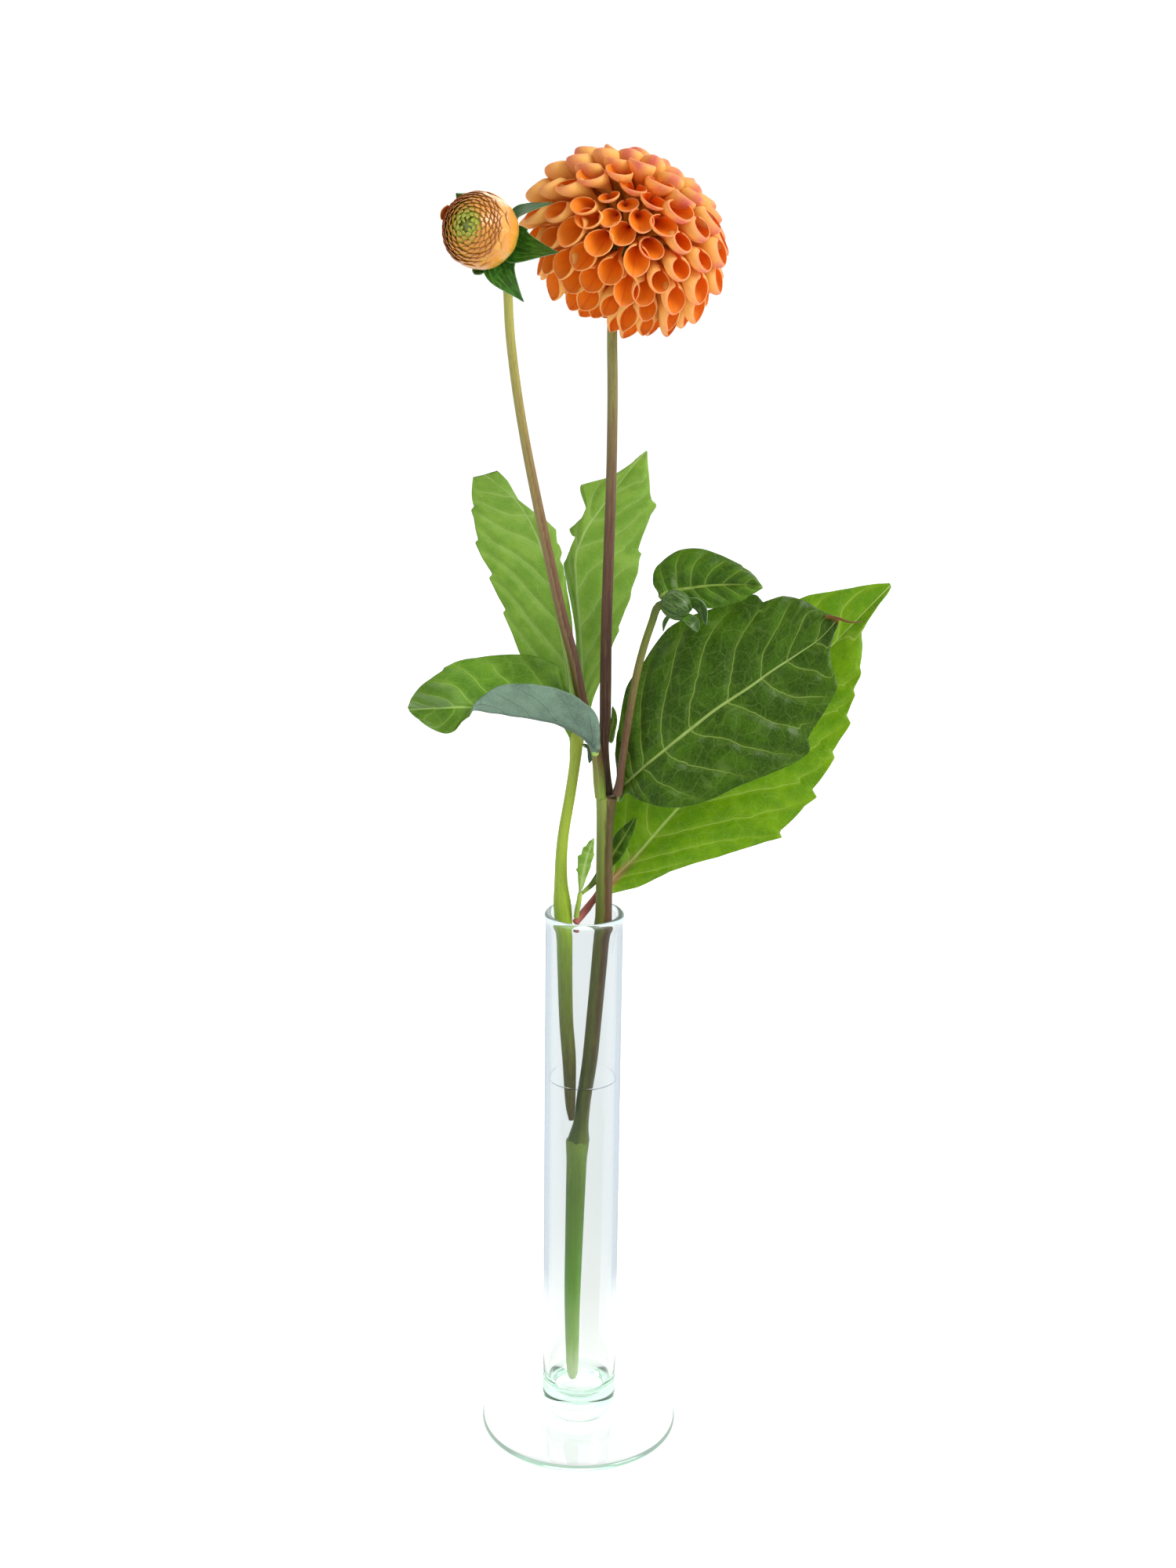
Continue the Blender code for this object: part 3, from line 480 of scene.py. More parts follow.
def vase():
    low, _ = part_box("vase_foot")
    _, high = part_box("vase_tube")
    top = high[2] / MM
    lip = (TUBE_R - BORE_R) / 2
    inside = [(0.0, 13.0)] + [(BORE_R * math.sin(math.radians(a)), 13.0 + 8.5 * (1 - math.cos(math.radians(a)))) for a in np.linspace(6, 90, 15)]
    wall = [(BORE_R, z) for z in np.linspace(30, top - 7, 14)]
    rim = [(BORE_R + 0.04, top - 4.5), (BORE_R + 0.02, top - 2.6)]
    rim += bend(BORE_R + lip + 0.05, top - 1.28, 1.28, 172, -8, 15)
    rim += [(TUBE_R + 0.10, top - 2.6), (TUBE_R, top - 4.5)]
    outer = [(TUBE_R, z) for z in np.linspace(top - 8, 14, 14)]
    heel = bend(TUBE_R - 4.6, 5.0 + 4.6, 4.6, 0, -72, 9)
    join = [(10.5, 4.95), (10.7, 4.72), (11.2, 4.62)]
    foot = [(14.0, 4.5), (18.0, 4.25), (23.0, 3.85), (28.0, 3.4), (33.0, 3.0), (35.6, 2.82)]
    edge = bend(37.3 - 1.35, 1.35, 1.35, 82, -78, 11)
    under = [(35.0, 0.02), (30.0, 0.0), (20.0, 0.0), (10.0, 0.0), (0.0, 0.0)]
    v, f = lathe(inside + wall + rim + outer + heel + join + foot + edge + under)
    pile = Pile()
    # the profile runs from the bore outwards, so its faces already look into the air
    pile.add(v, f)
    pile.piece("vase_glass", GLASS, "clear_glass", ("vase_tube", "vase_foot"))
    # the water's surface is a thin clear sheet that climbs a little where it meets the glass
    r, level = BORE_R - 0.02, 145.2
    xs = np.array([3, 6, 8.5, 10, 10.8, 11.3, 11.6, 11.85, 12.02, 12.12])
    top = [(0.0, level)] + [(x, level + 0.8 * math.exp(-(r - x) / 0.55)) for x in xs] + [(r, level + 0.8)]
    low = [(r, level + 0.55)] + [(x, level - 0.22 + 0.7 * math.exp(-(r - x) / 0.5)) for x in xs[::-1][1:]] + [(0.0, level - 0.22)]
    v, f = lathe(top + low)
    pile = Pile()
    pile.add(v, f)
    pile.piece("vase_water", WATER, "clear_glass")


# ================================================================ stems
STEMS = {
    "lower_stem": [(-2.6, 4, 15.0, 1.9), (-2.8, 4, 24, 2.5), (-3.0, 4, 50, 3.0), (-2.5, 4, 80, 3.5), (-1.9, 4, 108, 3.75), (-1.6, 4, 117, 3.85)],
    "main_stem": [(-1.3, 4, 117.6, 3.75), (-0.9, 4, 121, 3.2), (-0.4, 4, 125, 2.85), (0.5, 4, 134.5, 2.8), (2.6, 4, 150, 2.85), (4.0, 4, 166.5, 2.85), (5.0, 4.4, 179, 2.9), (6.0, 5, 191.5, 3.0), (6.9, 5, 205, 3.0), (7.0, 5, 220.5, 2.9), (7.0, 5, 239.5, 3.0), (7.4, 5, 251.5, 3.4)],
    "bloom_stem": [(7.7, 7.0, 252.8, 1.9), (6.7, 6.6, 262.5, 1.85), (6.1, 6.2, 271.5, 1.85), (6.5, 6.0, 280, 1.95), (6.5, 6, 292, 2.0), (6.5, 6, 314, 1.95), (7.0, 6, 341.5, 1.85), (7.5, 6.4, 368.5, 1.8), (7.5, 7, 395, 1.75), (7.1, 8.2, 413, 1.7), (7.3, 10.2, 425, 1.7), (8.6, 13.2, 431.5, 1.75), (10.3, 15.3, 436.6, 1.9), (11.4, 15.0, 440.0, 2.2)],
    "bud_stem": [(5.2, 3.2, 252.8, 1.95), (4.1, 3, 265, 1.9), (3.0, 2, 272.5, 2.1), (1.0, 1, 280, 1.95), (-1.9, 0, 289.5, 1.95), (-5, -1, 305, 1.9), (-9, -3, 320.5, 1.85), (-13.6, -5, 341.5, 1.75), (-17.6, -8, 361, 1.65), (-21.2, -10, 379.5, 1.6), (-24.2, -12, 398, 1.55), (-26.3, -14, 416, 1.5), (-27.0, -14.2, 428.5, 1.5), (-27.6, -11.6, 436.5, 1.55), (-28.7, -8.8, 441.6, 1.8), (-29.4, -8.8, 444.4, 2.0), (-29.9, -10.8, 446.0, 2.0)],
    "branch_stem": [(-4.0, 0.6, 127.5, 1.0), (-4.5, 1.6, 134, 1.9), (-5.1, 2.6, 150.5, 2.5), (-6.4, 3, 167, 2.6), (-7.0, 3, 185, 2.8), (-7.3, 3, 199, 3.0), (-7.6, 3, 206, 3.1), (-8.6, 4, 221, 2.3), (-8.1, 6, 235.5, 2.0), (-5.6, 9, 251.5, 1.9), (-4.1, 11, 262, 1.9), (-3.7, 12.2, 267.5, 2.15), (-3.5, 13.6, 271.5, 1.9), (-3.6, 15.4, 275.0, 1.3)],
    "side_stem": [(11.2, 2.6, 254.2, 1.4), (11.9, 1.1, 258.5, 1.4), (13.0, -1, 270, 1.35), (14.6, -3, 283, 1.35), (17.0, -5.5, 299.5, 1.3), (19.5, -7.5, 311, 1.3), (22.0, -10, 320, 1.3), (23.6, -11.8, 325.4, 1.4), (26.4, -12.6, 326.6, 1.7)],
    "shoot_stem": [(-2.9, 1.2, 207.6, 1.0), (-2.6, 0.8, 210.5, 0.95), (-2.0, 0.2, 214, 0.9), (-1.6, 0, 217, 0.9)],
}

STEM_LOOKS = {
    "lower_stem": ((0.0, "#D2E2B0"), (0.07, "#BCD690"), (0.16, "#84B43A"), (0.45, "#649A18"), (0.80, "#628220"), (1.0, "#7A9436")),
    "main_stem": ((0.0, "#6A7A28"), (0.10, "#56560F"), (0.35, "#584A10"), (0.60, "#583A16"), (0.72, "#58381C"), (0.82, "#524416"), (0.93, "#4E4418"), (1.0, "#58441E")),
    "bloom_stem": ((0.0, "#38241A"), (0.25, "#4A2E22"), (0.50, "#5A3B2C"), (0.68, "#6E5A38"), (0.82, "#7E7C42"), (1.0, "#8E9650")),
    "bud_stem": ((0.0, "#6C8A2A"), (0.08, "#5C4026"), (0.25, "#52342A"), (0.50, "#6E4E34"), (0.70, "#8A7A40"), (0.90, "#A0A04A"), (1.0, "#8EA040")),
    "branch_stem": ((0.0, "#544A18"), (0.14, "#646218"), (0.36, "#7A9020"), (0.52, "#86A41C"), (0.62, "#94AE2C"), (0.80, "#94AA30"), (1.0, "#A2B240")),
    "side_stem": ((0.0, "#5A3E2C"), (0.35, "#64482C"), (0.65, "#6E6A30"), (0.85, "#66741E"), (1.0, "#4A5A1A")),
    "shoot_stem": ((0.0, "#8CA83C"), (1.0, "#9CB84A")),
}
STRIPS = {
    "main_stem": (((0.0, "#4A5E18"), (0.35, "#5C6212"), (0.60, "#60661A"), (0.68, "#647022"), (0.80, "#72822E"), (1.0, "#86983E")), 0.9),
    "bud_stem": (((0.0, "#8A9A3A"), (0.14, "#7A6A38"), (0.4, "#8A7448"), (1.0, "#A8A850")), 0.6),
    "bloom_stem": (((0.0, "#5A3A28"), (0.5, "#6E4E38"), (1.0, "#9AA058")), 0.45),
}
SWELLS = {  # share along the stem, extra radius, width of the swelling as a share
    "lower_stem": [(1.0, 0.5, 0.05), (0.0, -0.5, 0.012)],
    "main_stem": [(0.0, 0.35, 0.04), (0.635, 0.30, 0.02), (1.0, 0.25, 0.04)],
    "branch_stem": [(0.57, 0.35, 0.03), (1.0, 0.3, 0.05)],
    "bloom_stem": [(0.0, 0.25, 0.02)],
    "bud_stem": [(0.03, 0.2, 0.02), (0.12, 0.25, 0.02)],
    "side_stem": [(0.0, 0.4, 0.05)],
}
STEM_SLOT = {"lower_stem": "green_stem", "branch_stem": "green_stem", "shoot_stem": "green_stem"}


def tube(points, radii, around=28, ribs=0.03, rib_count=7, twist=0.4, cap=0.5):
    """Sweeps a faintly ribbed round section along the points, closed with domed ends."""
    p = np.asarray(points, float)
    n = len(p)
    d = unit(np.gradient(p, axis=0))
    side = np.zeros_like(p)
    ref = np.array([1.0, 0.0, 0.0])
    for i in range(n):
        ref = ref - (ref @ d[i]) * d[i]
        ref = ref / np.linalg.norm(ref)
        side[i] = ref
    other = np.cross(d, side)
    a = np.linspace(0, 2 * math.pi, around, endpoint=False)
    s = np.linspace(0, 1, n)
    rows, us = [], []

    def ring(centre, i, r, u):
        w = 1 + ribs * np.cos(rib_count * a + twist * 6 * s[i])
        rows.append(centre + (side[i] * np.cos(a)[:, None] + other[i] * np.sin(a)[:, None]) * (r * w)[:, None])
        us.append(u)

    for k in (0.35, 0.7, 0.93):  # domed foot
        ring(p[0] - d[0] * radii[0] * cap * (1 - k), 0, radii[0] * math.sqrt(1 - (1 - k) ** 2), s[0])
    for i in range(n):
        ring(p[i], i, radii[i], s[i])
    for k in (0.93, 0.7, 0.35):
        ring(p[-1] + d[-1] * radii[-1] * cap * (1 - k), n - 1, radii[-1] * math.sqrt(1 - (1 - k) ** 2), s[-1])
    v = np.concatenate([[p[0] - d[0] * radii[0] * cap], np.concatenate(rows), [p[-1] + d[-1] * radii[-1] * cap]])
    u = np.concatenate([[0.0], np.repeat(us, around), [1.0]])
    faces = []
    m = len(rows)
    for k in range(around):
        j = (k + 1) % around
        faces.append((0, 1 + j, 1 + k))
        for i in range(m - 1):
            b = 1 + i * around
            faces.append((b + k, b + j, b + around + j, b + around + k))
        b = 1 + (m - 1) * around
        faces.append((len(v) - 1, b + k, b + j))
    centre = np.concatenate([[p[0]], np.repeat(np.concatenate([np.repeat(p[:1], 3, 0), p, np.repeat(p[-1:], 3, 0)]), around, 0), [p[-1]]])
    return v, faces, u, unit(v - centre)


def stems():
    for name, pts in STEMS.items():
        pts = np.array(pts, float)
        length = np.linalg.norm(np.diff(pts[:, :3], axis=0), axis=1).sum()
        n = int(length / 1.6) + 12
        q = route(pts, np.linspace(0, 1, n))
        # even steps along the length
        s = np.concatenate([[0], np.cumsum(np.linalg.norm(np.diff(q[:, :3], axis=0), axis=1))])
        u = np.linspace(0, s[-1], n)
        q = np.stack([np.interp(u, s, q[:, k]) for k in range(4)], 1)
        share = u / s[-1]
        r = q[:, 3].copy()
        for at, extra, wide in SWELLS.get(name, []):
            r += extra * np.exp(-((share - at) / wide) ** 2)
        r *= 1 + 0.012 * np.sin(share * length / 9 + len(name))
        v, f, uu, out = tube(q[:, :3], r, around=30 if r.max() > 1.6 else 22)
        left = -out[:, 0] * 0.9 - out[:, 1] * 0.35
        pile = Pile()
        pile.add(v, f, sa=np.stack([uu, uu * length, left], 1), sb=v)
        strip = STRIPS.get(name, (None, 0.0))
        mat = stem_material("skin_" + name, *STEM_LOOKS[name], strip=strip[0], strip_amount=strip[1])
        pile.piece("v_" + name, mat, STEM_SLOT.get(name, "brown_stem"), (name,))


# ================================================================ leaves
LEAVES = {
    "leaf_front_right": (
        [(10.9, 6.0, 251.6), (11.2, 6.5, 256.5), (10.6, 6.5, 262), (10.5, 6.5, 268), (11, 8, 278), (16.5, 12, 295), (29.5, 15, 311), (45.5, 17, 318.5), (61, 18, 322.5), (71.5, 19, 323), (81.5, 18, 319.5), (87.5, 15.5, 316.5)],
        [(11.5, 5.2, 251), (13.6, 4.2, 256), (16.5, 2.5, 260), (20, 1, 264), (27.5, 0.5, 271), (36.5, 3, 278), (46, 6, 285), (56.5, 9, 291.5), (65.5, 12, 297.5), (73.5, 14, 302.5), (82, 15, 308.5), (88, 15, 315.5)],
        [(11.9, 4.3, 250.4), (14.5, 2.5, 254.4), (17, 0, 254.3), (20.5, -3, 253.4), (29, -5, 252), (44, -4, 253.5), (59.5, -2, 260), (73, 1, 267), (80, 4, 274), (85, 7, 286), (87, 11, 299.5), (88.8, 14.5, 314.5)],
    ),
    "leaf_big_right": (
        [(-3.9, 5.6, 205), (0.2, 8.4, 209.3), (3.6, 10.4, 213.4), (7, 18, 217.5), (6, 24, 228), (11.5, 32, 246), (25, 37, 269.5), (42, 42, 292.5), (62, 46, 308), (85, 49, 317), (110.4, 50, 321.3)],
        [(-3.1, 5.0, 204), (0.8, 8.0, 208.3), (4.4, 10.2, 212.4), (10.5, 17, 216.5), (19, 22, 224), (30, 27, 236), (44, 32, 250.5), (60, 37, 267), (75.5, 42, 283), (91, 46, 299.5), (111, 50, 320.5)],
        [(-2.4, 4.2, 203), (1.6, 7.4, 207.2), (5.4, 10, 211.4), (13, 16, 212.4), (31.5, 18, 217.5), (51.5, 20, 224.5), (72.5, 23, 233), (85, 28, 247.5), (94, 34, 268.5), (100.5, 40, 293.5), (111.2, 50, 319.6)],
    ),
    "leaf_back_left": (
        [(-5.2, 14.5, 269.2), (-7.6, 14, 274), (-13.5, 14, 285), (-22.5, 14, 299.5), (-29, 15, 314), (-34, 16, 326.5), (-38, 18, 337), (-40, 20, 345), (-41.5, 22, 353), (-40.6, 25, 362.7)],
        [(-4.8, 14.9, 268.8), (-5.4, 15, 274), (-6.0, 15.4, 283), (-7.5, 17, 297), (-10, 19, 312), (-13, 21, 326.5), (-17, 23, 339), (-22, 25, 349.5), (-28.5, 27, 357), (-37, 27.5, 363.2)],
        [(-4.4, 15.3, 268.8), (-4.4, 16, 273), (-4.4, 17, 282.5), (-4.6, 20, 296), (-5.5, 23, 312.5), (-8, 25, 327), (-9.7, 26.2, 336.6), (-12.5, 28, 344.3), (-23.4, 29.8, 351.0), (-32.5, 29.1, 364.4)],
    ),
    "leaf_back_right": (
        [(-2.6, 15.6, 269.0), (-3.2, 17.2, 276), (-3.4, 20, 286), (-3.6, 23, 297), (-4.4, 26, 309), (-6.6, 28.6, 321), (-8.5, 30, 331.5), (-6.5, 30, 341.5), (-3, 32, 356), (9.5, 34, 364), (19.4, 36, 370.5)],
        [(-2.2, 15.2, 268.6), (-1.8, 15.6, 276), (-1.4, 16.5, 284), (-1.8, 18, 294.5), (-2.6, 20, 307), (-3.8, 22.5, 320), (-4.6, 25, 333.5), (-1.8, 27.5, 342.5), (4, 30, 351), (11.5, 33, 361), (20, 36, 371)],
        [(-1.7, 14.8, 268.6), (0.4, 14.8, 277), (2.5, 15.4, 285.5), (6, 17, 294), (9.5, 20, 304.5), (14, 23, 316), (17, 26, 327.5), (18.5, 29, 337), (22, 31, 349.5), (22.5, 33, 358.5), (20.5, 36, 370.4)],
    ),
    "leaf_folded": (
        [(3.9, -1.6, 270.6), (4.5, -4.2, 274.5), (3.6, -8, 285), (-1.5, -11, 292), (-10.5, -13, 296.5), (-20.5, -16, 299), (-29, -19, 299.5), (-36, -22, 296), (-40.5, -23, 289.5), (-47, -25, 284), (-55, -27, 286.5), (-59.5, -28.8, 292.2)],
        [(3.2, -1.4, 270.2), (3.2, -3.8, 273.8), (1, -4.4, 276), (-3.5, -5, 279.5), (-11.5, -7, 283.5), (-20.5, -10, 286), (-29, -13, 288), (-36.5, -16, 290), (-42.5, -19, 291.5), (-48, -22, 292), (-53.5, -25, 292.5), (-59.8, -29, 293)],
        [(2.5, -1.4, 270.6), (1.8, -2.8, 274.6), (-1.6, -2.2, 278), (-5.2, 3.2, 287.5), (-9.5, 8.6, 297), (-18, 10, 302), (-30, 8, 303.5), (-41, 4, 303), (-49, -2, 301), (-56, -10, 298.5), (-59.5, -19, 295.5), (-60.2, -28.6, 293.8)],
    ),
    "leaf_small_top": (
        [(24.4, -9.2, 328.8), (22.6, -3.5, 332), (24, 0, 337.5), (30, 1, 342), (37.5, 1, 343.5), (45, 0, 341.5), (52, -2, 338), (57, -4, 334.5), (59.4, -6, 331.8)],
        [(24.9, -9.0, 328.2), (27.4, -5.8, 329), (31, -5, 329.9), (35, -4.4, 330.4), (39, -4.2, 331), (44.5, -4, 331.5), (50, -5, 332), (55, -6, 332), (59.7, -6.2, 331.4)],
        [(25.4, -8.8, 327.7), (28.6, -6.2, 327.2), (32.4, -6.2, 326.2), (36.5, -7, 325.2), (41, -8, 324.6), (46.5, -8, 325.2), (52, -8, 327), (56.5, -7.4, 329.5), (59.4, -6.5, 331)],
    ),
    "shoot_leaf_pale": (
        [(-2.1, -0.2, 217.9), (-2.5, -2, 224.5), (-2.5, -3, 229.5), (-1, -4, 234.5), (1, -4.6, 238), (2.8, -5, 239.8)],
        [(-1.6, -0.3, 217.8), (-1, -1, 223.5), (0, -2, 229), (1, -3, 233.5), (2, -4.2, 237), (3, -5, 240)],
        [(-1.2, -0.2, 217.8), (0.5, 0, 223), (2, -1, 228), (3, -2, 232.5), (3.2, -3.6, 236.5), (3.2, -5, 239.9)],
    ),
    "shoot_leaf_dark": (
        [(-1.2, 1.6, 217.2), (0.6, 5.4, 217.8), (2.8, 10.4, 219), (6, 13.4, 224), (8.5, 13.6, 229.5), (11, 14, 235), (14.5, 14.4, 238.5), (17.8, 14.8, 241.3)],
        [(-0.8, 1.5, 216.7), (1.2, 5.4, 217.2), (3.6, 9.9, 218.2), (7.5, 12, 223.5), (10.5, 12, 228.5), (13, 12.6, 232.5), (15.5, 13.6, 236.5), (18.1, 14.8, 241.3)],
        [(-0.4, 1.4, 216.3), (1.8, 5.2, 216.6), (4.4, 9.4, 217.5), (9.5, 10.6, 223), (13.5, 10.8, 227.6), (15.5, 11.6, 231.5), (17.5, 13, 236.5), (18.4, 14.6, 241)],
    ),
    "leaf_tiny_right": (
        [(7.9, 8.6, 271.5), (8.2, 9.2, 275.5), (8.5, 9.6, 279), (8.8, 10, 281.5), (9.0, 10.2, 284)],
        [(8.5, 7.9, 271.2), (9.2, 8.3, 275.5), (9.8, 8.8, 279.5), (9.7, 9.4, 282), (9.1, 10.1, 284.3)],
        [(9.0, 7.0, 271.4), (10.2, 7.2, 275.5), (10.9, 7.8, 279.5), (10.4, 8.8, 282.5), (9.3, 9.9, 284.3)],
    ),
    "leaf_tiny_left": (
        [(-1.6, 10.6, 270), (-0.2, 8.6, 270), (0.4, 5.6, 268.6), (0.5, 4, 267), (0.9, 3.2, 265.3)],
        [(-1.3, 10.9, 269.4), (0.4, 8.4, 269.6), (1.4, 5.4, 268.6), (1.7, 4, 267), (1.1, 3.1, 265.1)],
        [(-1.0, 11.2, 268.9), (0.9, 8.8, 269), (2.3, 6, 268), (2.5, 4.4, 266.6), (1.3, 3.2, 265.1)],
    ),
}

# how far the real margin stands from the rail, by share along the leaf: teeth, lobes and notches
MARGINS = {
    "leaf_front_right": (
        [(0, 1), (0.19, 0.96), (0.27, 1.03), (0.355, 0.97), (0.43, 1.03), (0.48, 0.99), (0.54, 1.04), (0.613, 1.02), (0.66, 1.01), (0.712, 1.06), (0.722, 1.02), (0.728, 0.93), (0.745, 0.945), (0.79, 0.985), (0.823, 0.98), (0.868, 0.98), (0.905, 0.92), (0.943, 0.86), (1, 0.9)],
        [(0, 1), (0.195, 1.08), (0.30, 1.02), (0.39, 1.02), (0.463, 0.96), (0.505, 0.94), (0.545, 0.96), (0.60, 0.99), (0.662, 1.03), (0.700, 1.04), (0.713, 1.01), (0.716, 0.93), (0.745, 0.91), (0.785, 0.95), (0.823, 1.01), (0.86, 1.15), (0.886, 1.27), (0.894, 1.22), (0.898, 1.00), (0.906, 0.84), (0.925, 0.60), (0.963, 0.42), (1, 0.6)],
    ),
    "leaf_big_right": (
        [(0, 1), (0.5, 1.0), (0.56, 1.03), (0.565, 0.97), (0.64, 1.02), (0.645, 0.96), (0.72, 1.02), (0.725, 0.96), (0.80, 1.02), (0.806, 0.97), (0.885, 1.04), (0.917, 1.0), (0.945, 1.0), (0.968, 1.05), (0.985, 1.1), (1, 1)],
        [(0, 1), (0.25, 1.05), (0.335, 1.10), (0.375, 0.93), (0.408, 0.86), (0.453, 0.89), (0.492, 0.95), (0.532, 0.97), (0.568, 0.99), (0.594, 1.04), (0.599, 0.96), (0.63, 0.96), (0.667, 0.97), (0.693, 1.03), (0.698, 0.94), (0.723, 0.97), (0.763, 1.02), (0.767, 0.96), (0.79, 1.0), (0.820, 1.09), (0.824, 0.98), (0.843, 1.01), (0.859, 1.06), (0.863, 0.98), (0.877, 1.04), (0.888, 1.09), (0.892, 0.99), (0.907, 0.93), (0.92, 0.80), (0.932, 0.52), (0.948, 0.30), (0.97, 0.35), (1, 1)],
    ),
    "leaf_back_left": (
        [(0, 1), (0.352, 1.01), (0.403, 0.98), (0.455, 0.99), (0.466, 0.99), (0.474, 0.92), (0.51, 0.96), (0.562, 0.99), (0.578, 1.0), (0.588, 0.92), (0.645, 0.99), (0.70, 1.03), (0.718, 1.04), (0.728, 0.98), (0.78, 0.99), (0.835, 0.97), (0.873, 1.0), (0.882, 0.92), (0.93, 0.98), (1, 1.05)],
        [(0, 1), (0.52, 1.0), (0.56, 1.03), (0.565, 0.97), (0.60, 0.96), (0.625, 0.82), (0.648, 0.95), (0.66, 1.0), (0.69, 0.95), (0.697, 0.85), (0.735, 0.90), (0.772, 1.02), (0.778, 0.92), (0.82, 1.02), (0.87, 1.22), (0.93, 1.42), (0.97, 1.34), (1, 1)],
    ),
    "leaf_back_right": (
        [(0, 1), (0.57, 1.0), (0.598, 1.05), (0.613, 0.80), (0.652, 0.49), (0.688, 0.28), (0.699, 0.9), (0.715, 1.18), (0.728, 0.84), (0.755, 0.44), (0.776, 0.46), (0.792, 0.81), (0.803, 1.06), (0.815, 1.26), (0.827, 1.18), (0.868, 0.93), (0.912, 0.77), (0.975, 0.5), (1, 0.7)],
        [(0, 1), (0.265, 0.95), (0.403, 0.97), (0.44, 1.0), (0.45, 0.95), (0.50, 0.96), (0.535, 0.99), (0.562, 0.97), (0.615, 1.01), (0.667, 1.01), (0.688, 1.03), (0.694, 0.96), (0.735, 0.97), (0.795, 1.0), (0.825, 1.09), (0.838, 1.08), (0.848, 0.98), (0.875, 0.92), (0.938, 0.88), (1, 0.8)],
    ),
    "leaf_folded": (
        [(0, 1), (0.13, 1.1), (0.198, 1.04), (0.263, 0.98), (0.318, 1.01), (0.385, 1.01), (0.448, 1.01), (0.512, 0.98), (0.565, 0.97), (0.603, 0.92), (0.645, 0.75), (0.68, 0.95), (0.712, 1.16), (0.722, 1.22), (0.732, 1.10), (0.755, 0.99), (0.787, 1.08), (0.835, 1.01), (0.885, 0.90), (0.94, 0.75), (1, 0.9)],
        [(0, 1), (0.383, 1.04), (0.448, 1.01), (0.5, 1.0), (0.552, 0.98), (0.618, 0.97), (0.69, 1.02), (0.735, 1.02), (0.742, 0.97), (0.797, 0.94), (0.878, 0.97), (0.922, 0.97), (1, 0.9)],
    ),
    "leaf_small_top": (
        [(0, 1), (0.105, 1.1), (0.182, 1.08), (0.27, 0.99), (0.388, 1.01), (0.487, 0.98), (0.588, 0.98), (0.688, 1.0), (0.76, 1.06), (0.768, 1.0), (0.825, 1.08), (1, 0.9)],
        [(0, 1), (0.497, 1.04), (0.62, 1.05), (0.628, 1.0), (0.713, 1.01), (0.80, 1.05), (0.808, 0.99), (0.895, 1.04), (1, 0.9)],
    ),
    "shoot_leaf_pale": (
        [(0, 1), (0.25, 1.0), (0.30, 1.35), (0.33, 0.95), (0.45, 1.1), (0.52, 1.4), (0.55, 0.95), (0.68, 1.25), (0.72, 0.9), (0.85, 1.1), (1, 1)],
        [(0, 1), (0.4, 1.1), (0.44, 0.95), (0.62, 1.15), (0.66, 0.95), (1, 1)],
    ),
}

# where the lateral veins leave the midrib, and where the two sides' veins meet the margin
LATERALS = {
    "leaf_front_right": ((0.16, 0.20, 0.27, 0.36, 0.46, 0.57, 0.68, 0.79, 0.89), (0.22, 0.40, 0.50, 0.60, 0.68, 0.76, 0.84, 0.91, 0.965), (0.21, 0.31, 0.44, 0.56, 0.67, 0.77, 0.86, 0.92, 0.97)),
    "leaf_big_right": ((0.22, 0.28, 0.36, 0.45, 0.54, 0.63, 0.72, 0.81, 0.90), (0.36, 0.45, 0.54, 0.62, 0.70, 0.78, 0.86, 0.92, 0.97), (0.30, 0.47, 0.594, 0.69, 0.765, 0.82, 0.86, 0.89, 0.96)),
    "leaf_back_left": ((0.12, 0.22, 0.33, 0.44, 0.55, 0.66, 0.77, 0.87), (0.33, 0.46, 0.58, 0.70, 0.79, 0.87, 0.93, 0.97), (0.25, 0.36, 0.48, 0.60, 0.70, 0.80, 0.88, 0.94)),
    "leaf_back_right": ((0.10, 0.20, 0.31, 0.42, 0.53, 0.64, 0.75, 0.86), (0.24, 0.36, 0.48, 0.59, 0.70, 0.80, 0.88, 0.94), (0.30, 0.44, 0.56, 0.68, 0.78, 0.84, 0.90, 0.95)),
    "leaf_folded": ((0.14, 0.24, 0.34, 0.44, 0.54, 0.65, 0.76, 0.87), (0.26, 0.38, 0.50, 0.61, 0.71, 0.80, 0.88, 0.94), (0.26, 0.38, 0.50, 0.61, 0.71, 0.80, 0.88, 0.94)),
    "leaf_small_top": ((0.12, 0.24, 0.37, 0.51, 0.66, 0.82), (0.26, 0.42, 0.56, 0.70, 0.82, 0.92), (0.26, 0.42, 0.56, 0.70, 0.82, 0.92)),
}
LEAF_LOOKS = {  # material, slot, rows, columns, arch, quilting, margin waves
    "leaf_front_right": (LEAF_FRONT, "dark_leaf", 190, 91, 1.0, 0.55, 0.8),
    "leaf_big_right": (LEAF_PAINTED_BACKLIT, "light_leaf", 190, 81, 1.0, 0.45, 0.7),
    "leaf_back_left": (LEAF_PALE, "light_leaf", 170, 61, 0.8, 0.30, 0.5),
    "leaf_back_right": (LEAF_PALE, "light_leaf", 170, 61, 0.8, 0.30, 0.5),
    "leaf_folded": (LEAF_FOLD, "dark_leaf", 170, 71, -1.2, 0.35, 0.5),
    "leaf_small_top": (LEAF_DARK, "dark_leaf", 120, 51, 1.2, 0.40, 0.4),
    "shoot_leaf_pale": (LEAF_PALE, "light_leaf", 50, 15, 0.2, 0.05, 0.1),
    "shoot_leaf_dark": (LEAF_DARK, "dark_leaf", 50, 15, 0.3, 0.05, 0.1),
    "leaf_tiny_right": (LEAF_DARK, "dark_leaf", 24, 13, 0.3, 0.0, 0.1),
    "leaf_tiny_left": (LEAF_DARK, "dark_leaf", 24, 13, 0.3, 0.0, 0.1),
}


